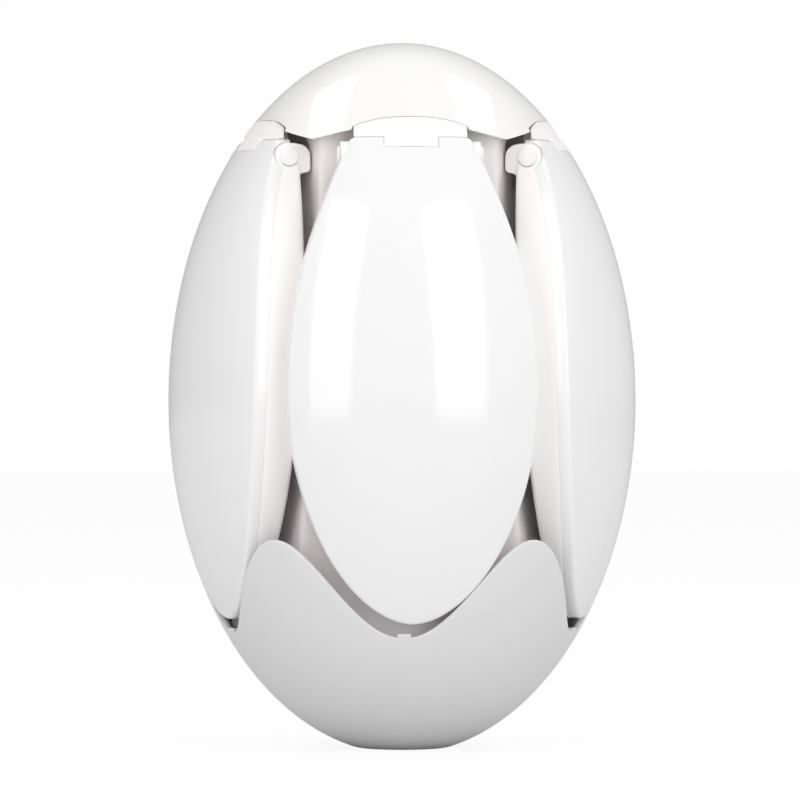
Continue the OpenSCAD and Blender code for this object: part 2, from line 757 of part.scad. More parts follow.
module bush() color("darkgoldenrod") difference() {
    union() {
        cylinder(r = bush_r, h = bush_top_z);
        translate([0, 0, cup_floor_t]) cylinder(r = bush_flange_r, h = bush_flange_t);
    }
    translate([0, 0, -past]) cylinder(r = thread_r, h = far);
}

module bush_nut() color("darkgoldenrod") difference() {
    translate([0, 0, column_z + column_floor_t]) cylinder(r = nut_af / 2 / cos(30), h = nut_t, $fn = 6);
    cylinder(r = bush_r + pin_fit, h = far);
}

// ---- What is drawn ----

for (n = [1 : leaf_count]) {
    at_leaf(n) leaf_frame();
    at_leaf(n) diffuser();
    at_leaf(n) led_board();
    at_leaf(n) led_chips();
    at_leaf(n) board_screws();
    at_leaf(n) hinge_pin();
    at_leaf(n) hinge_washers();
}
dome();
dome_plate();
dome_board();
dome_chips();
dome_screws();
plate_screws();
hub();
hub_screws();
column();
driver_board();
transformer();
capacitors();
inductor();
driver_chips();
terminal_block();
cup();
cup_screws();
bush();
bush_nut();
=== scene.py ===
"""Folding garage light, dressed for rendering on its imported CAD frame.

An egg of five lamp leaves hinged round a domed hub, whose tips reach down to a cup with a wavy edge.
Lengths are in metres. A leaf's pieces are worked out facing +X, with Y across the leaf, and then turned to
their place.
"""
import json
import math

import bmesh
import bpy
import numpy as np
from bpy.props import FloatProperty, FloatVectorProperty, PointerProperty
from mathutils import Matrix, Vector


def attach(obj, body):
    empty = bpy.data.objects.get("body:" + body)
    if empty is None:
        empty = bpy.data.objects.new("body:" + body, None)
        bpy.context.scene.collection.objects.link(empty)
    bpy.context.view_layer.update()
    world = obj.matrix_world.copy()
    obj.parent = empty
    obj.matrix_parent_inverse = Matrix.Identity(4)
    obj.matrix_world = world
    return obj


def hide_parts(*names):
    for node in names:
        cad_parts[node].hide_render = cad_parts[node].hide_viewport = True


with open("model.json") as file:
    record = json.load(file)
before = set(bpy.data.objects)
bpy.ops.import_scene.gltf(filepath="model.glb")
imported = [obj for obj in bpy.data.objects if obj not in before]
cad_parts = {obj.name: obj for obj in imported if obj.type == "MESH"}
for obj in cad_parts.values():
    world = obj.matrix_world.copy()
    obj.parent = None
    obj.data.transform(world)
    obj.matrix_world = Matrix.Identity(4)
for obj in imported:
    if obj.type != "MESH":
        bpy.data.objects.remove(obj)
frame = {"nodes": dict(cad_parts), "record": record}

bl_info = {
    "name": "Folding Garage Light",
    "version": (1, 0, 0),
    "blender": (4, 5, 0),
    "location": "3D View > Sidebar > Garage Light",
    "description": "Builds the visible pieces, finishes and studio of a folding garage light",
    "category": "Object",
}

MM = 0.001
FAR = 50 * MM  # further than any cut has to reach
LEAVES = range(1, 6)
SECTOR = math.radians(72)
HALF_SECTOR = SECTOR / 2
FIRST_LEAF = math.radians(-90)


# ---- Sizes and colours that a user may change ----

def size(name, millimetres, about):
    """A length property whose default is given in millimetres."""
    return FloatProperty(name=name, description=about, default=millimetres * MM, unit="LENGTH", precision=5)


def colour(name, code, about):
    """A colour property whose default is an sRGB hex value."""
    return FloatVectorProperty(name=name, description=about, default=from_hex(code), size=4, min=0, max=1,
                               subtype="COLOR")


def from_hex(code):
    """Linear RGBA of an sRGB hex value such as F0EEEC."""
    parts = [int(code[i:i + 2], 16) / 255 for i in (0, 2, 4)]
    return tuple(c / 12.92 if c <= 0.04045 else ((c + 0.055) / 1.055) ** 2.4 for c in parts) + (1.0,)


class EggSizes(bpy.types.PropertyGroup):
    """The closed light's outer form, which leaves, dome and cup all lie in."""
    radius: size("Radius", 70, "Largest radius of the closed light")
    middle: size("Widest level", 104, "Height of the widest level above the flat end")
    up: size("Upper height", 107, "Height from the widest level to the top of the dome")
    flat: size("Flat end", 13.8, "Radius of the flat end that the light stands on")


class LeafSizes(bpy.types.PropertyGroup):
    """A leaf's outline, its diffuser and its frame."""
    half_width: size("Half width", 36.6, "Half width of a leaf where it is widest")
    widest: size("Widest place", 109, "Height of a leaf's widest place")
    top: size("Top edge", 181, "Height of a leaf's top edge")
    top_half: size("Top half width", 17.5, "Half width at the top edge before its corners are rounded")
    corner: size("Corner", 2.8, "Radius of the corners at the top edge")
    tip: size("Tip", 39.3, "Height of a leaf's tip")
    fullness: FloatProperty(name="Fullness", default=0.553, min=0.45, max=0.65,
                            description="How full the lower half of the outline is, 0.5 being an ellipse")
    wall: size("Diffuser wall", 1.6, "Wall of the diffuser")
    rim: size("Rim depth", 3, "Depth of the diffuser's rim below the face of the egg")
    edge: size("Rounded edge", 0.75, "Radius that rounds the diffuser's edge")
    fit: size("Fit", 0.15, "Clearance between the diffuser and the frame's lip")
    frame_wall: size("Frame wall", 2.8, "Wall of the leaf frame")
    back_wall: size("Back wall", 2, "Wall of the frame's flat back")
    back_x: size("Back distance", 40.3, "Distance of the flat back from the axis at the level of back height")
    back_z: size("Back height", 171, "Height at which the back distance is measured")
    back_lean: FloatProperty(name="Back lean", default=math.radians(4.5), subtype="ANGLE",
                             description="Lean of the flat back from upright")
    back_edge: size("Back edge", 1.3, "Radius that rounds the edge of the flat back")


class HingeSizes(bpy.types.PropertyGroup):
    """The hinge at the top of a leaf."""
    x: size("Axis distance", 43.6, "Distance of the hinge axis from the egg's axis")
    z: size("Axis height", 175.7, "Height of the hinge axis")
    pin: size("Pin", 1.5, "Radius of the pin")
    head: size("Pin head", 2.75, "Radius of the pin's heads")
    head_t: size("Head thickness", 1, "Thickness of the pin's heads")
    pocket: size("Pocket", 4.1, "Radius of the pocket that the hub's cheeks turn in")
    knuckle_y: size("Knuckle half width", 8, "Half width of the knuckle")
    knuckle_in: size("Knuckle reach", 4.3, "Reach of the knuckle towards the egg's axis")
    knuckle_down: size("Knuckle depth", 4.7, "Depth of the knuckle below the axis")
    knuckle_out: size("Knuckle outlet", 178, "Height at which the knuckle comes out of the diffuser")
    ear_y: size("Ear", 17.5, "Inner face of an ear, from the leaf's middle")
    ear_t: size("Ear thickness", 3, "Thickness of an ear")
    ear_in: size("Ear reach", 6.8, "Reach of an ear towards the egg's axis")
    ear_down: size("Ear depth", 4.6, "Depth of an ear below the axis")
    ear_r: size("Ear radius", 4.1, "Radius of an ear's outer end")
    ear_high_r: size("Ear upper corner", 3.8, "Radius of an ear's upper inner corner")
    ear_low_r: size("Ear lower corner", 1.4, "Radius of the lower corner of an ear's hook")
    cheek: size("Cheek", 3.8, "Radius of the hub's cheeks round the axis")
    gap: size("Side gap", 0.3, "Side clearance in the hinge")
    shoulder_y: size("Shoulders", 16.6, "Half width of a leaf's shoulders, which fill the dome's arch")
    shoulder_in: size("Shoulder depth", 0.45, "Depth of the shoulders' face inside the egg")
    crown_gap: size("Crown gap", 0.1, "Clearance between knuckle or shoulders and the dome's edge")
    seam: size("Seam", 0.06, "Gap between the diffuser's edge and the knuckle or the shoulders")
    web_high: size("Web top", 1.6, "Upper face of the cheeks' webs, below the axis")
    web_low: size("Web underside", 3.6, "Lower face of the cheeks' webs, below the axis")


class HubSizes(bpy.types.PropertyGroup):
    """The hub that the leaves hang on."""
    flat: size("Flat side", 36, "Distance of the flat sides from the axis")
    corner: size("Corner", 2, "Radius of the rounded corners")
    low: size("Lower face", 165, "Height of the floor's lower face, where the skirt begins")
    skirt: size("Skirt end", 32.3, "Height of the skirt's lower end; it widens as the leaves' backs lean")
    skirt_wall: size("Skirt wall", 2.4, "Wall of the skirt")
    high: size("Upper face", 184.5, "Height of the upper face")
    floor: size("Floor", 3, "Thickness of the floor")
    bore: size("Bore", 30, "Radius of the round inside")
    hole: size("Wiring hole", 12, "Radius of the wiring hole")


class DomeSizes(bpy.types.PropertyGroup):
    """The dome and the wave of its edge."""
    wall: size("Wall", 2, "Wall of the dome")
    arch: size("Arch", 187.1, "Height of the edge over the middle of a leaf")
    arch_fall: size("Arch fall", 3, "Fall of the edge from there to the ends of the arch")
    arch_y: size("Arch half width", 17, "Half width of the arch")
    arch_flat: FloatProperty(name="Arch flatness", default=2.5, min=1.5, max=4,
                             description="How flat the arch is in its middle, 2 being a parabola")
    step: size("Step", 0.8, "Step down at each end of the arch")
    lobe: size("Lobe", 180.6, "Height of the edge between two leaves")
    edge: size("Rounded edge", 0.2, "Radius that rounds the edge")


class CupSizes(bpy.types.PropertyGroup):
    """The cup that the leaves' tips close on, and the hanging bush in its floor."""
    wall: size("Wall", 1.8, "Wall of the cup")
    floor: size("Floor", 3, "Thickness of the flat floor")
    valley: size("Valley", 35.3, "Height of the edge under the tip of a leaf")
    peak: size("Peak", 63.8, "Height of the edge between two leaves")
    sharp: size("Sharpness", 1.33, "How much sharper the valleys are than the peaks")
    turn: FloatProperty(name="Turn", default=math.radians(-2.5), subtype="ANGLE",
                        description="Turn of the cup against the leaves")
    catch_w: size("Catch width", 4, "Width of the catch in each valley")
    catch_h: size("Catch height", 1.2, "Height of the catch")
    edge: size("Rounded edge", 0.6, "Radius that rounds the edge")
    boss: size("Boss", 3.6, "Radius of the screw bosses inside")
    boss_ring: size("Boss ring", 19.5, "Distance of the screw bosses from the axis")
    boss_top: size("Boss top", 14, "Height of the bosses' upper faces")
    bush: size("Bush", 7.5, "Outer radius of the hanging bush")
    thread: size("Thread", 5, "Nominal radius of the thread in the bush")
    pitch: size("Pitch", 1, "Pitch of that thread")


class FinishColours(bpy.types.PropertyGroup):
    """Colours of the main finishes."""
    opal: colour("Opal", "F6F6F7", "Opal polycarbonate of the diffusers")
    dome: colour("Dome", "F7F6F5", "Opal polycarbonate of the dome")
    frame: colour("Frame", "FDFAFA", "Satin ABS of the leaf frames")
    hub: colour("Hub", "F8F2F3", "Satin ABS of the hub")
    cup: colour("Cup", "E8E8E9", "Fine satin ABS of the cup")
    column: colour("Column", "F7F0F4", "Matt ABS of the column")


class LightSettings(bpy.types.PropertyGroup):
    """All the sizes and colours of the light."""
    egg: PointerProperty(type=EggSizes, name="Egg", description="Outer form")
    leaf: PointerProperty(type=LeafSizes, name="Leaf", description="Leaves")
    hinge: PointerProperty(type=HingeSizes, name="Hinge", description="Hinges")
    hub: PointerProperty(type=HubSizes, name="Hub", description="Hub")
    dome: PointerProperty(type=DomeSizes, name="Dome", description="Dome")
    cup: PointerProperty(type=CupSizes, name="Cup", description="Cup")
    finish: PointerProperty(type=FinishColours, name="Finish", description="Colours")


def settings():
    """The scene's sizes and colours."""
    return bpy.context.scene.garage_light


# ---- Forms: (points, faces) pairs, where a face is four point numbers and the last is -1 for a triangle ----

def loft(rings, first=None, last=None, round_again=False):
    """Closed form through rings of points. Each ring is closed on itself and joins the next; a single point
    closes each end, or the last ring joins the first. The faces are turned outwards."""
    rings = np.asarray(rings, float)
    count, around = rings.shape[:2]
    points = rings.reshape(-1, 3)
    rows = np.arange(count if round_again else count - 1)
    row, col = np.meshgrid(rows, np.arange(around), indexing="ij")
    after, right = (row + 1) % count, (col + 1) % around
    corners = [row * around + col, row * around + right, after * around + right, after * around + col]
    faces = [np.stack(corners, -1).reshape(-1, 4)]
    here, there = np.arange(around), (np.arange(around) + 1) % around
    for pole, start, turn in ((first, 0, 1), (last, (count - 1) * around, -1)):
        if pole is not None:
            points = np.vstack([points, pole])
            top, none = np.full(around, len(points) - 1), np.full(around, -1)
            fan = np.stack([top, start + there, start + here, none], -1)
            if turn < 0:
                fan[:, [1, 2]] = fan[:, [2, 1]]
            faces.append(fan)
    return outwards(points, np.concatenate(faces))


def outwards(points, faces):
    """The form with all its faces turned round if its signed volume is below zero."""
    a, b, c = (points[faces[:, i]] for i in range(3))
    d = points[np.where(faces[:, 3] < 0, faces[:, 2], faces[:, 3])]
    middle = points.mean(axis=0)
    a, b, c, d = a - middle, b - middle, c - middle, d - middle
    volume = (np.cross(a, b) * c).sum() + (np.cross(a, c) * d).sum()
    if volume > 0:
        return points, faces
    flipped = faces.copy()
    quad = faces[:, 3] >= 0
    flipped[quad] = faces[quad][:, ::-1]
    flipped[~quad] = faces[~quad][:, [0, 2, 1, 3]]
    return points, flipped


def joined(*forms):
    """Several forms as one."""
    points, faces, start = [], [], 0
    for p, f in forms:
        points.append(p)
        faces.append(np.where(f < 0, -1, f + start))
        start += len(p)
    return np.vstack(points), np.vstack(faces)


def turned(form, angle):
    """The form turned about Z by an angle."""
    c, s = math.cos(angle), math.sin(angle)
    return form[0] @ np.array([[c, s, 0], [-s, c, 0], [0, 0, 1]]), form[1]


def mesh_of(name, form):
    """A mesh from a form."""
    points, faces = form
    quads, triangles = faces[faces[:, 3] >= 0], faces[faces[:, 3] < 0][:, :3]
    corners = np.concatenate([quads.ravel(), triangles.ravel()]).astype(np.int32)
    counts = np.concatenate([np.full(len(quads), 4), np.full(len(triangles), 3)])
    mesh = bpy.data.meshes.new(name)
    mesh.vertices.add(len(points))
    mesh.vertices.foreach_set("co", points.astype(np.float32).ravel())
    mesh.loops.add(len(corners))
    mesh.loops.foreach_set("vertex_index", corners)
    mesh.polygons.add(len(counts))
    mesh.polygons.foreach_set("loop_start", (np.cumsum(counts) - counts).astype(np.int32))
    mesh.update(calc_edges=True)
    mesh.validate()
    return mesh


def smoothed(mesh):
    """Shades the mesh smooth, with edges of more than 32 degrees left sharp."""
    mesh.polygons.foreach_set("use_smooth", np.ones(len(mesh.polygons), bool))
    mesh.set_sharp_from_angle(angle=math.radians(32))
    return mesh


def carved(name, form, cutters):
    """The mesh of a form with other forms cut from it by exact booleans."""
    base = bpy.data.objects.new(name, mesh_of(name, form))
    bpy.context.scene.collection.objects.link(base)
    tools = []
    for cutter in cutters:
        tool = bpy.data.objects.new(name + "_tool", mesh_of(name + "_tool", cutter))
        bpy.context.scene.collection.objects.link(tool)
        tools.append(tool)
        modifier = base.modifiers.new("Cut", "BOOLEAN")
        modifier.operation, modifier.object, modifier.solver = "DIFFERENCE", tool, "EXACT"
    mesh = bpy.data.meshes.new_from_object(base.evaluated_get(bpy.context.evaluated_depsgraph_get()))
    for extra in [base, *tools]:
        bpy.data.objects.remove(extra)
    return mesh


def place(name, mesh, finish, body, *nodes):
    """Puts a piece in the scene: its mesh, the name of its finish, the CAD body it rides on and the CAD
    nodes it stands for."""
    mesh.materials.clear()
    mesh.materials.append(bpy.data.materials[finish])
    piece = bpy.data.objects.new(name, smoothed(mesh))
    bpy.context.scene.collection.objects.link(piece)
    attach(piece, body)
    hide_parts(*nodes)


def leaf_turn(n):
    """Angle of leaf n round the egg."""
    return FIRST_LEAF + (n - 1) * SECTOR


def on_each_leaf(name, mesh, finish, body, node):
    """The same mesh on all five leaves, turned to each. The names hold a %d for the leaf's number."""
    for n in LEAVES:
        copy = mesh.copy()
        copy.transform(Matrix.Rotation(leaf_turn(n), 4, "Z"))
        place(name % n, copy, finish, body % n if "%" in body else body, node % n)


# ---- The egg and the leaf's outline ----

def egg_down():
    """Half height of the ellipse below the widest level, which the flat end cuts at its own radius."""
    egg = settings().egg
    return egg.middle / math.sqrt(1 - (egg.flat / egg.radius) ** 2)


def egg_radius(z, inset=0.0):
    """Radius of the egg at a height: half an ellipse above its widest level and half of a longer one below,
    both drawn inwards by inset."""
    egg = settings().egg
    tall = np.where(z > egg.middle, egg.up, egg_down()) - inset
    return (egg.radius - inset) * np.sqrt(np.clip(1 - ((z - egg.middle) / tall) ** 2, 0, None))


def egg_foot(radius, inset=0.0):
    """Height of the egg's lower half at a distance from the axis, where it is drawn inwards by inset."""
    egg = settings().egg
    return egg.middle - (egg_down() - inset) * np.sqrt(1 - (radius / (egg.radius - inset)) ** 2)


def on_egg(outline, inset=0.0):
    """Points of an outline, given as (across, height), carried back along X to the egg drawn inwards by
    inset."""
    y, z = outline[:, 0], outline[:, 1]
    return np.stack([np.sqrt(np.clip(egg_radius(z, inset) ** 2 - y ** 2, 0, None)), y, z], -1)


def leaf_outline(inset=0.0):
    """A leaf's closed outline as (across, height), from its tip round by its right side, drawn inwards by
    inset. Below its widest place a power of a cosine stands against a sine; above it is a slow cosine, then
    an arc at the top corner that meets it without a kink, and a straight top edge."""
    leaf = settings().leaf
    low_steps, high_steps, corner_steps, top_steps = 46, 44, 9, 8
    taper = math.acos(leaf.top_half / leaf.half_width) / (leaf.top - leaf.widest)
    u = np.radians(np.linspace(90, 0, low_steps, endpoint=False))
    low = np.stack([(leaf.half_width - inset) * np.clip(np.cos(u), 0, 1) ** (2 * leaf.fullness),
                    leaf.widest - (leaf.widest - leaf.tip - inset) * np.sin(u)], -1)
    radius = max(leaf.corner - inset, 0.5 * MM)
    height = leaf.top - inset - radius
    for _ in range(30):
        slope = math.atan(leaf.half_width * taper * math.sin(taper * (height - leaf.widest)))
        height = leaf.top - inset - radius + radius * math.sin(slope)
    z = np.linspace(leaf.widest, height, high_steps, endpoint=False)
    high = np.stack([leaf.half_width * np.cos(taper * (z - leaf.widest)) - inset, z], -1)
    side = leaf.half_width * math.cos(taper * (height - leaf.widest)) - inset
    centre = np.array([side - radius * math.cos(slope), leaf.top - inset - radius])
    a = np.linspace(slope, math.pi / 2, corner_steps)
    corner = centre + radius * np.stack([np.cos(a), np.sin(a)], -1)
    top = np.stack([np.linspace(centre[0], 0, top_steps + 1)[1:], np.full(top_steps, leaf.top - inset)], -1)
    right = np.concatenate([low, high, corner, top])
    left = right[-2:0:-1] * [-1, 1]
    return np.concatenate([right, left])


def drawn_to(outline, share):
    """An outline shrunk towards the middle of the leaf."""
    middle = np.array([0, settings().leaf.widest])
    return middle + share * (outline - middle)


def leaf_middle(inset=0.0):
    """The egg's point in the middle of a leaf."""
    return on_egg(np.array([[0, settings().leaf.widest]]), inset)[0]


def back_x(z, off=0.0):
    """Distance of the flat back from the axis at a height; off is a distance in front of it."""
    leaf = settings().leaf
    return leaf.back_x - (z - leaf.back_z) * math.tan(leaf.back_lean) + off / math.cos(leaf.back_lean)


def on_back(outline, off=0.0):
    """Points of an outline carried back along X to the flat back, or to off in front of it."""
    return np.stack([back_x(outline[:, 1], off), outline[:, 0], outline[:, 1]], -1)


def across(profile, y1, y2, edge=0.0):
    """A section round the hinge axis, given as (out, up), carried across the leaf from y1 to y2. Its ends are
    rounded by shrinking the section towards its middle along a quarter circle, and closed by a fan."""
    middle = profile.mean(axis=0)
    reach = np.abs(profile - middle).max()
    a = np.linspace(0, math.pi / 2, 4) if edge else [math.pi / 2]
    stations = [(y1 + edge * (1 - math.cos(t)), edge * (1 - math.sin(t))) for t in a]
    stations += [(y2 - (y - y1), inset) for y, inset in stations[::-1]]
    rings = []
    for y, inset in stations:
        rings.append(at_hinge(middle + (profile - middle) * (1 - inset / reach), y))
    return loft(rings, *(at_hinge(middle[None], y)[0] for y in (y1, y2)))


def at_hinge(section, y):
    """Points of a section round the hinge axis, given as (out, up), in the plane at y."""
    hinge = settings().hinge
    return np.stack([hinge.x + section[:, 0], np.full(len(section), y), hinge.z + section[:, 1]], -1)


def both_sides(profile, y1, y2, edge=0.0):
    """A section carried across from y1 to y2, and its like on the other side of the leaf's middle."""
    return [across(profile, y1, y2, edge), across(profile, -y2, -y1, edge)]


def whole_turn(count):
    """Angles evenly spaced round a whole turn."""
    return np.linspace(0, 2 * math.pi, count, endpoint=False)


def round_axis(reach, angle, z):
    """Points at a distance from the egg's axis, an angle round it and a height."""
    return np.stack(np.broadcast_arrays(reach * np.cos(angle), reach * np.sin(angle), z), -1)


def circle(radius, count=64):
    """Points round a circle."""
    a = whole_turn(count)
    return radius * np.stack([np.cos(a), np.sin(a)], -1)


def arc(centre, radius, start, end, count):
    """Points along an arc, with its ends in degrees."""
    a = np.radians(np.linspace(start, end, count))
    return np.stack([centre[0] + radius * np.cos(a), centre[1] + radius * np.sin(a)], -1)


def box_form(low, high):
    """A box between two corners, as four upright edges closed at their ends."""
    x1, y1, z1 = low
    x2, y2, z2 = high
    rings = [[[x1, y1, z], [x2, y1, z], [x2, y2, z], [x1, y2, z]] for z in (z1, z2)]
    middle = [(x1 + x2) / 2, (y1 + y2) / 2]
    return loft(rings, [*middle, z1], [*middle, z2])


# ---- Materials ----

def add_node(tree, kind, inputs=(), **values):
    """Adds a node. Values are its own settings; an input is given a number, a colour or the socket to link to
    it."""
    new = tree.nodes.new(kind)
    for name, value in values.items():
        setattr(new, name, value)
    for name, value in dict(inputs).items():
        if isinstance(value, bpy.types.NodeSocket):
            tree.links.new(value, new.inputs[name])
        else:
            new.inputs[name].default_value = value
    return new


def cleared_tree(owner):
    """The node tree of a material or a world, emptied."""
    owner.use_nodes = True
    owner.node_tree.nodes.clear()
    return owner.node_tree


def finish_base(name, shader_values):
    """A material with a Principled shader, whose constants are on its own sockets, and Object coordinates."""
    material = bpy.data.materials.new(name)
    tree = cleared_tree(material)
    shader = add_node(tree, "ShaderNodeBsdfPrincipled", shader_values)
    add_node(tree, "ShaderNodeOutputMaterial", {"Surface": shader.outputs["BSDF"]})
    coordinates = add_node(tree, "ShaderNodeTexCoord")
    return material, tree, shader, coordinates.outputs["Object"]


def coloured(tree, shader, factor, first, second):
    """Links a mix of two colours to the base colour."""
    mix = add_node(tree, "ShaderNodeMix", {"Factor": factor, 6: first, 7: second}, data_type="RGBA")
    tree.links.new(mix.outputs[2], shader.inputs["Base Color"])


def raised(tree, shader, height, distance):
    """Raises the surface by up to distance."""
    bump = add_node(tree, "ShaderNodeBump", {"Height": height, "Distance": distance, "Strength": 1.0})
    tree.links.new(bump.outputs["Normal"], shader.inputs["Normal"])


def mottled(tree, shader, place_on, tone, spread, scale):
    """Varies the base colour a little by a soft noise: tone darkened by up to spread, in patches 1 / scale
    across."""
    noise = add_node(tree, "ShaderNodeTexNoise",
                     {"Vector": place_on, "Scale": scale, "Detail": 3.0, "Roughness": 0.5})
    deep = tuple(c * (1 - spread) for c in tone[:3]) + (1.0,)
    coloured(tree, shader, noise.outputs["Fac"], tone, deep)


def grained(tree, shader, place_on, scale, distance, detail):
    """Raises the surface by a noise: grains 1 / scale across and distance high."""
    noise = add_node(tree, "ShaderNodeTexNoise", {"Vector": place_on, "Scale": scale, "Detail": detail})
    raised(tree, shader, noise.outputs["Fac"], distance)


def plain_finish(name, shader_values, tone, spread, patches, grains, height, detail=2.0):
    """A material of one tone: mottled by up to spread in patches 1 / patches across, with grains 1 / grains
    across and height high."""
    material, tree, shader, place_on = finish_base(name, shader_values)
    mottled(tree, shader, place_on, tone, spread, patches)
    grained(tree, shader, place_on, grains, height, detail)
    return material


def opal_polycarbonate(name, tone):
    """Opal polycarbonate, injection moulded in a polished tool: glossy, a little light passing under the
    surface, and a faint slow waviness where it shrank, with patches about 16 mm across."""
    values = {"Roughness": 0.09, "IOR": 1.58, "Subsurface Weight": 0.12, "Subsurface Scale": 0.002,
              "Subsurface Radius": (1.0, 1.0, 1.0), "Specular IOR Level": 0.5}
    return plain_finish(name, values, tone, 0.012, 30.0, 60.0, 0.00004, 1.0)


def satin_abs(name, tone, roughness=0.5, grain=0.45, height=0.012):
    """ABS moulded in a spark-eroded tool: satin, with a fine even grain. Grain and height are in millimetres;
    the real grain of 0.1 mm is drawn coarser, so that it shows."""
    values = {"Roughness": roughness, "IOR": 1.54}
    return plain_finish(name, values, tone, 0.02, 45.0, 1000.0 / grain, height * MM)


def plated_steel(name):
    """Zinc-plated steel: bright grey with a fine uneven sheen from the plating bath."""
    values = {"Metallic": 1.0, "Roughness": 0.32}
    return plain_finish(name, values, from_hex("B9BBC0"), 0.15, 400.0, 3000.0, 0.000004)


def turned_brass(name):
    """Free-cutting brass, turned: warm metal with fine rings round its axis, 0.4 mm apart."""
    material, tree, shader, place_on = finish_base(name, {"Metallic": 1.0, "Roughness": 0.28})
    mottled(tree, shader, place_on, from_hex("C9A45A"), 0.1, 200.0)
    wave = add_node(tree, "ShaderNodeTexWave", {"Vector": place_on, "Scale": 800.0, "Distortion": 0.4},
                    bands_direction="Z")
    raised(tree, shader, wave.outputs["Fac"], 0.000004)
    return material


def lacquered_aluminium(name):
    """Aluminium-cored lamp board under white solder lacquer: flat white with a slight gloss and a fine orange
    peel."""
    values = {"Roughness": 0.35, "IOR": 1.5}
    return plain_finish(name, values, from_hex("EDEDEA"), 0.03, 90.0, 900.0, 0.000006)


def phosphor_resin(name):
    """Lamp chip: silicone resin filled with yellow phosphor, poured and cured, so a little glossy and
    uneven."""
    values = {"Roughness": 0.3, "IOR": 1.41, "Subsurface Weight": 0.1, "Subsurface Scale": 0.0005}
    return plain_finish(name, values, from_hex("EFD873"), 0.18, 700.0, 1200.0, 0.00001)


def solder_masked_board(name):
    """Glass-epoxy circuit board under green solder mask: glossy, with the weave of the glass showing faintly
    through."""
    material, tree, shader, place_on = finish_base(name, {"Roughness": 0.28, "IOR": 1.5})
    warp, weft = (add_node(tree, "ShaderNodeTexWave", {"Vector": place_on, "Scale": 320.0, "Distortion": 0.2},
                           bands_direction=direction).outputs["Fac"] for direction in "XZ")
    both = add_node(tree, "ShaderNodeMath", {0: warp, 1: weft}, operation="ADD")
    coloured(tree, shader, both.outputs[0], from_hex("1C5A37"), from_hex("247046"))
    return material


def wound_tape(name):
    """Transformer with polyester tape wound round it: smooth amber film with edges every 6 mm."""
    material, tree, shader, place_on = finish_base(name, {"Roughness": 0.25, "IOR": 1.6})
    mottled(tree, shader, place_on, from_hex("D9A52B"), 0.1, 250.0)
    wave = add_node(tree, "ShaderNodeTexWave", {"Vector": place_on, "Scale": 53.0}, bands_direction="Z",
                    wave_profile="SAW")
    raised(tree, shader, wave.outputs["Fac"], 0.00005)
    return material


def moulded_nylon(name, code, roughness=0.45):
    """Small parts of moulded nylon: even colour, a soft sheen and a fine grain."""
    values = {"Roughness": roughness, "IOR": 1.53}
    return plain_finish(name, values, from_hex(code), 0.12, 300.0, 1800.0, 0.000008)


class GARAGELIGHT_OT_finishes(bpy.types.Operator):
    """Make the finishes and give the CAD nodes that stay in view theirs"""
    bl_idname = "garagelight.finishes"
    bl_label = "Finishes"

    def execute(self, context):
        tones = settings().finish
        opal_polycarbonate("opal_polycarbonate", tones.opal)
        opal_polycarbonate("opal_dome_polycarbonate", tones.dome)
        satin_abs("satin_white_abs", tones.frame, 0.5)
        satin_abs("satin_hub_abs", tones.hub, 0.55)
        satin_abs("fine_satin_abs", tones.cup, 0.62, 0.35, 0.008)
        satin_abs("matt_column_abs", tones.column, 0.65)
        made = {
            "inner_plastic": bpy.data.materials["matt_column_abs"],
            "board_aluminium": lacquered_aluminium("white_lacquered_aluminium"),
            "lamp_chip": phosphor_resin("phosphor_resin"),
            "screw_steel": plated_steel("zinc_plated_steel"),
            "washer_plastic": moulded_nylon("black_nylon", "3A3A3C"),
            "circuit_board": solder_masked_board("green_glass_epoxy"),
            "coil_tape": wound_tape("amber_polyester_tape"),
            "black_plastic": moulded_nylon("black_moulded_case", "1C1C1F", 0.38),
            "terminal_plastic": moulded_nylon("green_nylon", "2F7A48"),
            "brass": turned_brass("turned_brass"),
            "white_plastic": bpy.data.materials["satin_white_abs"],
            "opal_plastic": bpy.data.materials["opal_polycarbonate"],
            "cup_plastic": bpy.data.materials["fine_satin_abs"],
        }
        for part in frame["record"]["subparts"]:
            for slot in frame["nodes"][part["node"]].material_slots:
                slot.material = made[part["material_slot"]]
        return {"FINISHED"}


# ---- Leaves ----

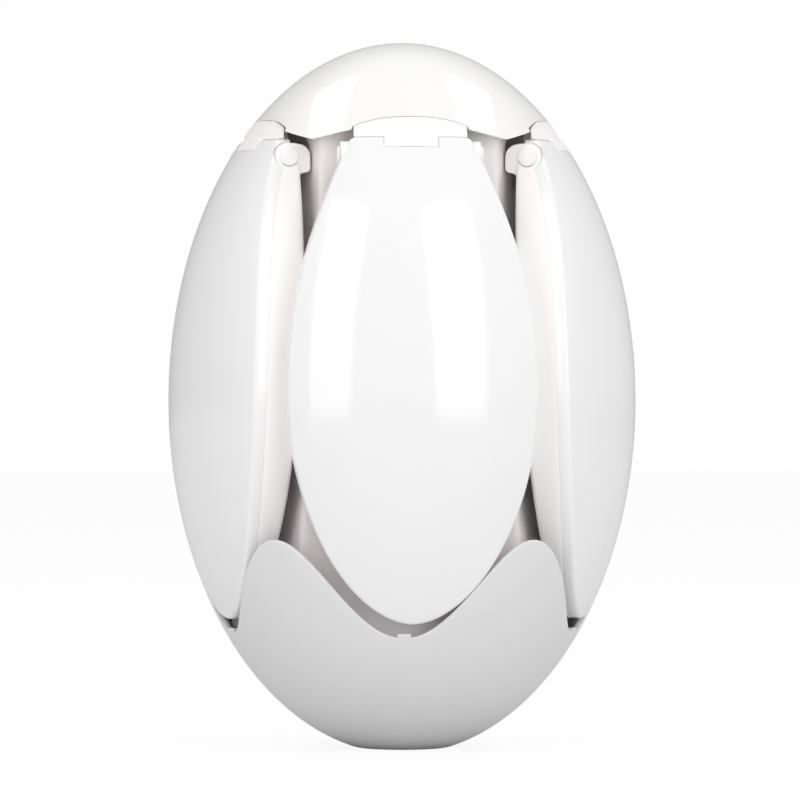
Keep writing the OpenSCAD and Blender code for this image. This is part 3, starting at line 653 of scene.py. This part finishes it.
class GARAGELIGHT_OT_diffusers(bpy.types.Operator):
    """Build the five opal diffusers that the leaves show outwards"""
    bl_idname = "garagelight.diffusers"
    bl_label = "Diffusers"

    def execute(self, context):
        """Rings run out over the egg's face to the edge, round it along a quarter circle, down the rim, under
        it, and back over the inner face. The hinge's pocket, the knuckle's notch and the ears' clearance are
        then cut."""
        leaf, hinge = settings().leaf, settings().hinge
        edge, wall = leaf.edge, leaf.wall
        shares = np.sin(np.linspace(0, math.pi / 2, 32))[1:]
        rings = [on_egg(drawn_to(leaf_outline(edge), s)) for s in shares]
        for a in np.linspace(0, math.pi / 2, 7)[1:]:
            rings.append(on_egg(leaf_outline(edge * (1 - math.sin(a))), edge * (1 - math.cos(a))))
        foot = 0.12 * MM
        rings += [on_egg(leaf_outline(0), d) for d in np.linspace(edge, leaf.rim - foot, 4)[1:]]
        rings += [on_egg(leaf_outline(foot), leaf.rim), on_egg(leaf_outline(wall), leaf.rim)]
        rings += [on_egg(leaf_outline(wall), d) for d in np.linspace(leaf.rim, wall, 3)[1:]]
        rings += [on_egg(drawn_to(leaf_outline(wall), s), wall) for s in shares[-2::-2]]
        form = loft(rings, leaf_middle(), leaf_middle(wall))
        notch, sill = hinge.knuckle_y + hinge.seam, hinge.knuckle_out - hinge.seam
        cutters = [
            across(circle(hinge.pocket), -hinge.ear_y, hinge.ear_y),
            box_form((hinge.x - FAR, -notch, sill), (hinge.x + FAR, notch, hinge.z + FAR)),
            *both_sides(circle(hinge.ear_r + leaf.fit), hinge.ear_y, FAR),
        ]
        on_each_leaf("leaf_%d_diffuser", carved("diffuser", form, cutters), "opal_polycarbonate",
                     "leaf_%d", "diffuser_%d")
        return {"FINISHED"}


def crown_reach(y):
    """Radius round the hinge axis that stays clear of the dome's arch at a distance across the leaf."""
    dome, hinge = settings().dome, settings().hinge
    fall = dome.arch_fall * (np.abs(y) / dome.arch_y) ** dome.arch_flat
    return dome.arch - hinge.z - hinge.crown_gap - fall


def rounded_stations(half, edge, near, near_inset, count):
    """Stations across the leaf as (y, inset). The ends are drawn inwards by edge, and the places that are
    near to them by near_inset."""
    end = [(half - near, near_inset), (half, edge)]
    level = [(y, 0) for y in np.linspace(-half + edge, half - edge, count)]
    return [(-y, inset) for y, inset in end[::-1]] + level + end


def knuckle_form():
    """The knuckle in the middle of the hinge. Its section is a round about the axis, cut by the leaf's flat
    faces and by the egg; where it is below its outlet it lies under the diffuser."""
    leaf, hinge = settings().leaf, settings().hinge
    a = np.radians(np.arange(0, 360, 2.5))
    out, up = np.cos(a), np.sin(a)
    half, under = hinge.knuckle_y, leaf.wall + leaf.fit
    rings = []
    for y, inset in rounded_stations(half, 0.35 * MM, 0.1 * MM, 0.12 * MM, 11):
        reach = np.full(len(a), float(crown_reach(y)))
        reach = np.minimum(reach, np.where(out < 0, hinge.knuckle_in / np.maximum(-out, 1e-6), 1))
        reach = np.minimum(reach, np.where(up < 0, hinge.knuckle_down / np.maximum(-up, 1e-6), 1))
        for _ in range(25):
            z = hinge.z + up * reach
            face = np.where(z > hinge.knuckle_out, egg_radius(z), egg_radius(z, under))
            limit = np.sqrt(face ** 2 - y ** 2) - hinge.x
            over = (out > 0.05) & (out * reach > limit)
            reach = np.where(over, reach * 0.5 + 0.5 * limit / np.maximum(out, 0.05), reach)
        reach -= inset
        rings.append(at_hinge(np.stack([out * reach, up * reach], -1), y))
    return loft(rings, [hinge.x, -half, hinge.z], [hinge.x, half, hinge.z])


def shoulder_form():
    """The shoulders beside the knuckle. Each section starts on the frame behind the diffuser's rim, steps out
    over the rim, follows the egg up to the round that clears the dome, and falls back to the frame."""
    leaf, hinge = settings().leaf, settings().hinge
    foot, sill, least = hinge.ear_r + 0.15 * MM, leaf.top - hinge.z + hinge.seam, 0.02 * MM

    def face_at(up, inset, y):
        return np.sqrt(egg_radius(hinge.z + up, inset) ** 2 - y ** 2) - hinge.x

    rings = []
    for y, inset in rounded_stations(hinge.shoulder_y, 0.25 * MM, 0.08 * MM, 0.1 * MM, 41):
        reach = float(crown_reach(y))
        up = np.linspace(sill, reach, 24)
        for _ in range(20):
            top_out = max(face_at(up, hinge.shoulder_in, y)[-1], least)
            up = np.linspace(sill, math.sqrt(max(reach ** 2 - top_out ** 2, 0)), 24)
        face = np.maximum(face_at(up, hinge.shoulder_in, y), least)
        deep = np.array([foot, sill])
        behind = np.maximum(face_at(deep, leaf.rim + 0.02 * MM, y), least)
        section = np.concatenate([np.stack([behind, deep], -1), np.stack([face, up], -1),
                                  [[0, reach], [0, (reach + foot) / 2], [0, foot]]])
        middle = section.mean(axis=0)
        away = section - middle
        share = 1 - inset / np.maximum(np.linalg.norm(away, axis=1), 0.6 * MM)
        rings.append(at_hinge(middle + away * share[:, None], y))
    return loft(rings, rings[0].mean(axis=0), rings[-1].mean(axis=0))


def ear_section():
    """Section of an ear: round at its outer end, a rounded hook towards the egg's axis, and a small hollow
    where it runs into the side of the frame."""
    hinge = settings().hinge
    high, low, hollow = hinge.ear_high_r, hinge.ear_low_r, 2.2 * MM
    back = back_x(hinge.z - 8.6 * MM) - hinge.x + 0.4 * MM
    return np.concatenate([
        arc((0, 0), hinge.ear_r, -60, 90, 16),
        arc((high - hinge.ear_in, 0), high, 90, 180, 12),
        arc((low - hinge.ear_in, low - hinge.ear_down), low, 180, 262, 8),
        arc((back - 2.6 * MM, -hinge.ear_down - 2.3 * MM), hollow, 78, 12, 6),
        np.array([[back + 1.5 * MM, -hinge.ear_down - 2.1 * MM]]),
    ])


class GARAGELIGHT_OT_leaf_frames(bpy.types.Operator):
    """Build the five leaf frames with their knuckles and ears"""
    bl_idname = "garagelight.leaf_frames"
    bl_label = "Leaf Frames"

    def execute(self, context):
        """Rings run from the inner floor out to the wall, up it to the lip, over the lip and its ledge, down
        the outer side, round the back edge and in over the flat back. Knuckle, shoulders and ears are joined
        on."""
        leaf, hinge = settings().leaf, settings().hinge
        lip = leaf.wall + leaf.fit
        shares = np.linspace(0, 1, 12)[1:]
        inner = leaf_outline(leaf.frame_wall)
        rings = [on_back(drawn_to(inner, s), leaf.back_wall) for s in shares]
        floor, rim = on_back(inner, leaf.back_wall), on_egg(inner, lip)
        rings += [floor + (rim - floor) * t for t in (0.25, 0.5, 0.75, 1)]
        rings += [on_egg(leaf_outline(lip), lip), on_egg(leaf_outline(lip), leaf.rim)]
        edge, small = leaf.back_edge, 0.15 * MM
        rings += [on_egg(leaf_outline(small), leaf.rim), on_egg(leaf_outline(0), leaf.rim + small)]
        high, low = rings[-1], on_back(leaf_outline(0), edge)
        rings += [high + (low - high) * t for t in np.linspace(0, 1, 8)[1:]]
        for a in np.linspace(0, math.pi / 2, 7)[1:]:
            rings.append(on_back(leaf_outline(edge * (1 - math.cos(a))), edge * (1 - math.sin(a))))
        rings += [on_back(drawn_to(leaf_outline(edge), s)) for s in shares[-2::-1]]
        middle = np.array([[0, leaf.widest]])
        form = loft(rings, on_back(middle, leaf.back_wall)[0], on_back(middle)[0])
        corner = hinge.z - hinge.knuckle_down
        out, deep = hinge.ear_y + hinge.ear_t, 0.8 * MM
        slit = np.concatenate([arc((0, 0), hinge.head + 0.5 * MM, -104, -142, 10)[::-1],
                               arc((0, 0), hinge.head + 0.1 * MM, -104, -142, 10)])
        cutters = [
            across(circle(hinge.pocket), -hinge.ear_y, hinge.ear_y),
            box_form((hinge.x - FAR, -hinge.ear_y, corner), (hinge.x, hinge.ear_y, hinge.z + FAR)),
            box_form((hinge.x - FAR, -FAR, hinge.z + hinge.ear_r), (hinge.x, FAR, hinge.z + FAR)),
            *both_sides(circle(hinge.head + hinge.gap), out, FAR),
        ]
        body = carved("leaf_frame", form, cutters)
        ears = [carved("ear", ear, [cut]) for ear, cut in zip(
            both_sides(ear_section(), hinge.ear_y, out, 0.3 * MM), both_sides(slit, out - deep, out + MM))]
        crown = [mesh_of("knuckle", knuckle_form()), mesh_of("shoulders", shoulder_form())]
        whole = merged("leaf_frame", [body, *crown, *ears])
        on_each_leaf("leaf_%d_frame", whole, "satin_white_abs", "leaf_%d", "leaf_frame_%d")
        return {"FINISHED"}


def merged(name, meshes):
    """Several meshes as one."""
    both = bmesh.new()
    for mesh in meshes:
        both.from_mesh(mesh)
    whole = bpy.data.meshes.new(name)
    both.to_mesh(whole)
    both.free()
    return whole


class GARAGELIGHT_OT_hinge_pins(bpy.types.Operator):
    """Build the five hinge pins with their low domed heads"""
    bl_idname = "garagelight.hinge_pins"
    bl_label = "Hinge Pins"

    def execute(self, context):
        """The pin's radius along its length is turned round the hinge axis: head, shank and head, with
        rounded rims and faces that swell a little."""
        hinge = settings().hinge
        out = hinge.ear_y + hinge.ear_t + 0.05 * MM
        end, rim, crown, chamfer = out + hinge.head_t, 0.35 * MM, 0.18 * MM, 0.1 * MM
        half = [(hinge.pin, 0), (hinge.pin, out), (hinge.head - chamfer, out), (hinge.head, out + chamfer)]
        half += [(hinge.head - rim * (1 - math.cos(t)), end - crown - rim * (1 - math.sin(t)))
                 for t in np.linspace(0, math.pi / 2, 6)]
        half += [((hinge.head - rim) * s, end - crown * s * s) for s in (0.8, 0.6, 0.4, 0.2)]
        profile = [(r, -y) for r, y in half[:0:-1]] + half
        form = loft([at_hinge(circle(r, 48), y) for r, y in profile],
                    [hinge.x, -end, hinge.z], [hinge.x, end, hinge.z])
        on_each_leaf("hinge_pin_%d_turned", mesh_of("hinge_pin", form), "satin_white_abs", "core",
                     "hinge_pin_%d")
        return {"FINISHED"}


# ---- Hub, dome, cup ----

def rounded_pentagon(angle, flat, corner):
    """Distance from the axis to a pentagon with a flat side facing each leaf and corners rounded by an
    arc."""
    a = np.abs((angle - FIRST_LEAF + HALF_SECTOR) % SECTOR - HALF_SECTOR)
    hub = (flat - corner) / math.cos(HALF_SECTOR)
    straight = flat / np.cos(a)
    from_corner = HALF_SECTOR - a
    half_chord = np.sqrt(np.clip(corner ** 2 - (hub * np.sin(from_corner)) ** 2, 0, None))
    arc_reach = hub * np.cos(from_corner) + half_chord
    bend = math.atan2(hub * math.sin(HALF_SECTOR), flat)
    return np.where(a < bend, straight, arc_reach)


def hinge_room():
    """The room that a leaf's knuckle and shoulders turn in: rounds about the hinge axis, whole for the
    knuckle, and flat at the bottom beside it, where the webs stay."""
    hinge = settings().hinge
    half, side = hinge.knuckle_y + hinge.gap, hinge.shoulder_y + hinge.gap
    step = 0.01 * MM
    stations = np.concatenate([np.linspace(-side, -half - step, 8), np.linspace(-half, half, 11),
                               np.linspace(half + step, side, 8)])
    a = whole_turn(96)
    rings = []
    for y in stations:
        reach = float(crown_reach(y)) + hinge.gap
        up = reach * np.sin(a)
        if abs(y) > half:
            up = np.maximum(up, -hinge.web_high)
        rings.append(at_hinge(np.stack([reach * np.cos(a), up], -1), y))
    return loft(rings, [hinge.x, -side, hinge.z], [hinge.x, side, hinge.z])


class GARAGELIGHT_OT_hub(bpy.types.Operator):
    """Build the hub with the cheeks that the hinge pins go through"""
    bl_idname = "garagelight.hub"
    bl_label = "Hub"

    def execute(self, context):
        """A rounded pentagon, which widens downwards in the skirt, is carried up the outer side, over the
        top, down the bore, over the floor, down the wiring hole and back down inside the skirt. The room for
        the knuckles is cut, and the cheeks and their webs are joined on."""
        hub, hinge, wall = settings().hub, settings().hinge, settings().dome.wall
        angle = whole_turn(360)

        def side(inset, z):
            flat = hub.flat + max(hub.low - z, 0) * math.tan(settings().leaf.back_lean)
            inside = egg_radius(z, wall + 0.2 * MM)
            return round_axis(np.minimum(rounded_pentagon(angle, flat, hub.corner), inside) - inset, angle, z)

        edge, end = 0.8 * MM, hub.skirt
        bend = np.linspace(0, math.pi / 2, 6)
        rings = [side(edge * (1 - math.sin(t)), end + edge * (1 - math.cos(t))) for t in bend]
        rings += [side(0, z) for z in np.linspace(end + edge, hub.low, 40)[1:]]
        rings += [side(0, z) for z in np.linspace(hub.low, hub.high, 10)[1:]]
        rings += [round_axis(hub.bore, angle, z) for z in np.linspace(hub.high, hub.low + hub.floor, 4)]
        rings += [round_axis(hub.hole, angle, z) for z in (hub.low + hub.floor, hub.low)]
        rings += [side(hub.skirt_wall, z) for z in np.linspace(hub.low, end, 30)]
        cutters = [turned(hinge_room(), leaf_turn(n)) for n in LEAVES]
        body = carved("hub", loft(rings, round_again=True), cutters)
        inner, outer = hinge.knuckle_y + hinge.gap, hinge.ear_y - 0.8 * MM
        root, tip = hub.flat - hinge.x - 2 * MM, -hinge.cheek / 2
        web = np.array([[tip, -hinge.web_low], [tip, -hinge.web_high], [root, -hinge.web_high],
                        [root, -hinge.web_low]])
        cheeks = [turned(form, leaf_turn(n)) for n in LEAVES for section in (circle(hinge.cheek), web)
                  for form in both_sides(section, inner, outer, 0.25 * MM)]
        whole = merged("hub", [body, mesh_of("cheeks", joined(*cheeks))])
        place("hub_moulding", whole, "satin_hub_abs", "core", "hub")
        return {"FINISHED"}


def shell_edge(ring, height, edge, wall):
    """Rings round a shell's edge on two quarter circles, from its outside to its inside. Ring takes a height
    and an inset. Edge is below zero where the shell lies below its edge."""
    turn, radius = np.linspace(0, math.pi / 2, 6)[1:], abs(edge)
    rings = [ring(height + edge * (1 - math.sin(t)), radius * (1 - math.cos(t))) for t in turn]
    return rings + [ring(height + edge * (1 - math.cos(t)), wall - radius * (1 - math.sin(t))) for t in turn]


def with_steps(angles, steps, width):
    """Angles with each step's narrow pair put in: one just before it and one just after."""
    return np.sort(np.concatenate([angles] + [[s - width, s + width] for s in steps]))


class GARAGELIGHT_OT_dome(bpy.types.Operator):
    """Build the opal dome with its wavy edge"""
    bl_idname = "garagelight.dome"
    bl_label = "Dome"

    def execute(self, context):
        """Each meridian runs over the egg from the top to the edge's height there, round the edge on two
        quarter circles, and back up inside. The edge arches over each leaf, steps down and falls to the lobe
        between."""
        dome, egg = settings().dome, settings().egg
        step = math.asin(dome.arch_y / float(egg_radius(np.array(dome.arch - dome.arch_fall))))
        base = np.linspace(-HALF_SECTOR, HALF_SECTOR, 72, endpoint=False)
        sector = with_steps(base, (-step, step), math.radians(0.1))
        lobe_y = float(egg_radius(np.array(dome.lobe))) * math.sin(HALF_SECTOR)
        end = dome.arch - dome.arch_fall - dome.step
        height = np.full(len(sector), dome.arch)
        for _ in range(40):
            y = np.abs(egg_radius(height) * np.sin(sector))
            arch = dome.arch - dome.arch_fall * np.minimum(y / dome.arch_y, 1) ** dome.arch_flat
            skirt = end + (dome.lobe - end) * (y - dome.arch_y) / (lobe_y - dome.arch_y)
            height = 0.5 * height + 0.5 * np.where(np.abs(sector) < step, arch, skirt)
        angle = np.concatenate([sector + leaf_turn(n) for n in LEAVES])
        height = np.tile(height, len(LEAVES))
        top = egg.middle + egg.up

        def ring(z, inset):
            return round_axis(egg_radius(z, inset), angle, z)

        edge = dome.edge
        foot = np.arccos(np.clip((height + edge - egg.middle) / egg.up, -1, 1))
        rows = np.sin(np.linspace(0, math.pi / 2, 40))[1:]
        rings = [ring(egg.middle + egg.up * np.cos(foot * s), 0) for s in rows]
        rings += shell_edge(ring, height, edge, dome.wall)
        inner = egg.up - dome.wall
        foot = np.arccos(np.clip((height + edge - egg.middle) / inner, -1, 1))
        rings += [ring(egg.middle + inner * np.cos(foot * s), dome.wall) for s in rows[-2::-2]]
        form = loft(rings, [0, 0, top], [0, 0, top - dome.wall])
        place("dome_shell", mesh_of("dome", form), "opal_dome_polycarbonate", "core", "dome")
        return {"FINISHED"}


def boss_form():
    """A screw boss of the cup. Its hole is open at the top, and its foot follows the egg inside the wall."""
    cup = settings().cup
    a = whole_turn(40)
    hole, deep, chamfer = 1.5 * MM, 6.5 * MM, 0.3 * MM

    def ring(r, z=None):
        x, y = cup.boss_ring + r * np.cos(a), r * np.sin(a)
        height = egg_foot(np.hypot(x, y), cup.wall / 2) if z is None else np.full(len(a), z)
        return np.stack([x, y, height], -1)

    rings = [ring(hole, deep), ring(hole, cup.boss_top), ring(cup.boss - chamfer, cup.boss_top),
             ring(cup.boss, cup.boss_top - chamfer), ring(cup.boss), ring(cup.boss / 2)]
    foot = float(egg_foot(cup.boss_ring, cup.wall / 2))
    return loft(rings, [cup.boss_ring, 0, deep], [cup.boss_ring, 0, foot])


class GARAGELIGHT_OT_cup(bpy.types.Operator):
    """Build the cup with its wavy edge, catches and screw bosses"""
    bl_idname = "garagelight.cup"
    bl_label = "Cup"

    def execute(self, context):
        """Each meridian runs from the bush's hole out over the flat end, up the egg to the edge's height
        there, round the edge, down inside and back over the floor. The edge's height is a cosine with five
        valleys, sharpened by its double, and stands higher by the catch in each valley."""
        cup, egg = settings().cup, settings().egg
        wave, mean = (cup.peak - cup.valley) / 2, (cup.peak + cup.valley) / 2 - cup.sharp
        reach = float(egg_radius(np.array(cup.valley)))
        base = np.linspace(-HALF_SECTOR, HALF_SECTOR, 96, endpoint=False)
        catch = math.asin(cup.catch_w / 2 / reach)
        sector = with_steps(base, (-catch, catch), math.radians(0.12))
        height = mean - wave * np.cos(5 * sector) + cup.sharp * np.cos(10 * sector)
        height = np.where(np.abs(sector) < catch, cup.valley + cup.catch_h, np.maximum(height, cup.valley))
        angle = np.concatenate([sector + leaf_turn(n) + cup.turn for n in LEAVES])
        height = np.tile(height, len(LEAVES))

        def ring(z, inset):
            return round_axis(egg_radius(z, inset), angle, z)

        edge, hole, heel = cup.edge, cup.bush + 0.1 * MM, 0.7 * MM
        rings = [round_axis(r, angle, 0) for r in np.linspace(hole, egg.flat - heel, 5)]
        for t in np.linspace(0, 1, 6)[1:]:
            z = heel * t ** 2
            rings.append(round_axis(float(egg_radius(np.array(z))) - heel * (1 - t) ** 2, angle, z))
        rows = np.linspace(0, 1, 42)[1:]
        rings += [ring(heel + (height - edge - heel) * s, 0) for s in rows]
        rings += shell_edge(ring, height, -edge, cup.wall)
        rings += [ring(cup.floor + (height - edge - cup.floor) * s, cup.wall) for s in rows[-2::-2]]
        inner = float(egg_radius(np.array(cup.floor), cup.wall))
        rings += [round_axis(r, angle, cup.floor) for r in np.linspace(inner, hole, 4)]
        shell = loft(rings, round_again=True)
        bosses = [turned(boss_form(), leaf_turn(n) + HALF_SECTOR) for n in LEAVES]
        place("cup_moulding", mesh_of("cup", joined(shell, *bosses)), "fine_satin_abs", "core", "cup")
        return {"FINISHED"}


class GARAGELIGHT_OT_bush(bpy.types.Operator):
    """Build the brass hanging bush with its cut thread"""
    bl_idname = "garagelight.bush"
    bl_label = "Hanging Bush"

    def execute(self, context):
        """The bore's radius is a triangle wave of height against angle, which cuts the thread as a helix. The
        outside is turned with a flange and small chamfers."""
        cup = settings().cup
        angle = whole_turn(60)
        top, low, chamfer, depth = 22 * MM, 0.0, 0.5 * MM, 0.3 * MM
        flange, flange_low, flange_top = 10.5 * MM, 3 * MM, 5 * MM

        outer = [(cup.bush - chamfer, low), (cup.bush, low + chamfer), (cup.bush, flange_low),
                 (flange, flange_low), (flange, flange_top), (cup.bush, flange_top),
                 (cup.bush, top - chamfer), (cup.bush - chamfer, top)]
        rings = [round_axis(r, angle, z) for r, z in [*outer, (cup.thread + chamfer, top)]]
        for z in np.arange(top - chamfer, low + chamfer, -cup.pitch / 8):
            wave = np.abs(((z / cup.pitch - angle / (2 * math.pi)) % 1) * 2 - 1)
            rings.append(round_axis(cup.thread - depth * (1 - wave), angle, z))
        rings.append(round_axis(cup.thread + chamfer, angle, low))
        form = loft(rings, round_again=True)
        place("hanging_bush", mesh_of("bush", form), "turned_brass", "core", "bush")
        return {"FINISHED"}


# ---- Studio ----

def softbox(name, azimuth, elevation, width, height, radiance, target):
    """An area light 1.5 m from the target, in a direction given in degrees from -Y round to +X and up."""
    distance = 1.5
    light = bpy.data.lights.new(name, "AREA")
    light.shape, light.size, light.size_y = "RECTANGLE", width, height
    light.energy = radiance * math.pi * width * height
    lamp = bpy.data.objects.new(name, light)
    bpy.context.scene.collection.objects.link(lamp)
    a, e = math.radians(azimuth), math.radians(elevation)
    back = Vector((math.sin(a) * math.cos(e), -math.cos(a) * math.cos(e), math.sin(e)))
    lamp.location = Vector(target) + back * distance
    lamp.rotation_euler = back.to_track_quat("Z", "Y").to_euler()
    lamp.visible_camera = False
    return lamp


def matt_white_paper():
    """Paper under the light: matt and pale, and for the camera mostly a plain white that keeps a faint
    shadow."""
    paper = bpy.data.materials.new("matt_white_paper")
    tree = cleared_tree(paper)
    path = add_node(tree, "ShaderNodeLightPath")
    matt = add_node(tree, "ShaderNodeBsdfDiffuse", {"Color": from_hex("E3E3E3")})
    white = add_node(tree, "ShaderNodeEmission", {"Color": (1, 1, 1, 1), "Strength": 1.05})
    share = add_node(tree, "ShaderNodeMath", {0: path.outputs["Is Camera Ray"], 1: 0.86},
                     operation="MULTIPLY")
    mix = add_node(tree, "ShaderNodeMixShader",
                   {0: share.outputs[0], 1: matt.outputs[0], 2: white.outputs[0]})
    add_node(tree, "ShaderNodeOutputMaterial", {"Surface": mix.outputs[0]})
    return paper


def studio_world():
    """Surroundings: plain white for the camera, an even dim light a little stronger from the right, and for
    reflections a white front and top with greyer sides and back."""
    world = bpy.data.worlds.new("studio_world")
    tree = cleared_tree(world)
    path = add_node(tree, "ShaderNodeLightPath")
    coordinates = add_node(tree, "ShaderNodeTexCoord")
    split = add_node(tree, "ShaderNodeSeparateXYZ", {0: coordinates.outputs["Generated"]})

    def made(kind, inputs, **values):
        return add_node(tree, "ShaderNode" + kind, inputs, **values).outputs[0]

    def ranged(value, start, end, low, high):
        return made("MapRange", {"Value": value, "From Min": start, "From Max": end,
                                 "To Min": low, "To Max": high})

    def white(strength):
        return made("Background", {"Color": (1, 1, 1, 1), "Strength": strength})

    x, y, z = (split.outputs[axis] for axis in "XYZ")
    even = white(ranged(x, -1.0, 1.0, 0.6, 0.74))
    up = made("Math", {0: z, 1: 1.1}, operation="MULTIPLY")
    front = made("Math", {0: up, 1: y}, operation="SUBTRACT")
    side = ranged(x, -1.0, 1.0, 0.28, 0.62)
    seen = white(ranged(front, -0.1, 0.45, side, 1.0))
    mirror = made("Math", {0: path.outputs["Is Glossy Ray"], 1: path.outputs["Is Transmission Ray"]},
                  operation="MAXIMUM")
    inner = made("MixShader", {0: mirror, 1: even, 2: seen})
    outer = made("MixShader", {0: path.outputs["Is Camera Ray"], 1: inner, 2: white(1.0)})
    add_node(tree, "ShaderNodeOutputWorld", {"Surface": outer})
    return world


class GARAGELIGHT_OT_studio(bpy.types.Operator):
    """Set up the pale floor, the softboxes, the surroundings and the camera"""
    bl_idname = "garagelight.studio"
    bl_label = "Studio"

    def execute(self, context):
        scene = context.scene
        scene.view_settings.view_transform = "Standard"

        half = 4.0
        floor_mesh = bpy.data.meshes.new("studio_floor")
        floor_mesh.from_pydata([(-half, -half, 0), (half, -half, 0), (half, half, 0), (-half, half, 0)],
                               [], [(0, 1, 2, 3)])
        floor = bpy.data.objects.new("studio_floor", floor_mesh)
        scene.collection.objects.link(floor)
        floor_mesh.materials.append(matt_white_paper())
        scene.world = studio_world()

        middle = (0, 0, settings().egg.middle)
        softbox("softbox_left", -37.7, 20.5, 0.56, 1.4, 1.7, middle)
        softbox("softbox_right", 25.3, 20.5, 0.70, 1.4, 1.7, middle)
        softbox("softbox_overhead_left", -111, 60, 1.0, 0.4, 1.7, middle)
        softbox("softbox_overhead_right", 105, 60, 1.0, 0.4, 1.7, middle)

        camera = bpy.data.cameras.new("photo_camera")
        camera.lens, camera.sensor_width = 240, 36
        camera.shift_x, camera.shift_y = -0.0025, -0.05
        camera.clip_end = 50
        stand = bpy.data.objects.new("photo_camera", camera)
        distance, turn, eye_height = 1.6, math.radians(3.2), 0.116
        stand.location = (-distance * math.sin(turn), -distance * math.cos(turn), eye_height)
        stand.rotation_euler = (math.pi / 2, 0, -turn)
        scene.collection.objects.link(stand)
        scene.camera = stand
        return {"FINISHED"}


class GARAGELIGHT_PT_panel(bpy.types.Panel):
    """Garage light"""
    bl_idname = "GARAGELIGHT_PT_panel"
    bl_label = "Garage Light"
    bl_space_type = "VIEW_3D"
    bl_region_type = "UI"
    bl_category = "Garage Light"

    def draw(self, context):
        for group in ("egg", "leaf", "hinge", "hub", "dome", "cup", "finish"):
            box = self.layout.box()
            box.label(text=group.title())
            values = getattr(settings(), group)
            for name in values.__annotations__:
                box.prop(values, name)
        for operator in OPERATORS:
            self.layout.operator(operator.bl_idname)


OPERATORS = (
    GARAGELIGHT_OT_finishes, GARAGELIGHT_OT_diffusers, GARAGELIGHT_OT_leaf_frames, GARAGELIGHT_OT_hinge_pins,
    GARAGELIGHT_OT_hub, GARAGELIGHT_OT_dome, GARAGELIGHT_OT_cup, GARAGELIGHT_OT_bush, GARAGELIGHT_OT_studio,
)
CLASSES = (EggSizes, LeafSizes, HingeSizes, HubSizes, DomeSizes, CupSizes, FinishColours, LightSettings,
           *OPERATORS, GARAGELIGHT_PT_panel)


def register():
    for cls in CLASSES:
        bpy.utils.register_class(cls)
    bpy.types.Scene.garage_light = PointerProperty(type=LightSettings)


def unregister():
    del bpy.types.Scene.garage_light
    for cls in reversed(CLASSES):
        bpy.utils.unregister_class(cls)


def main():
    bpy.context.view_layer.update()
    register()
    bpy.ops.garagelight.finishes()
    bpy.ops.garagelight.diffusers()
    bpy.ops.garagelight.leaf_frames()
    bpy.ops.garagelight.hinge_pins()
    bpy.ops.garagelight.hub()
    bpy.ops.garagelight.dome()
    bpy.ops.garagelight.cup()
    bpy.ops.garagelight.bush()
    bpy.ops.garagelight.studio()


if __name__ == "__main__":
    main()
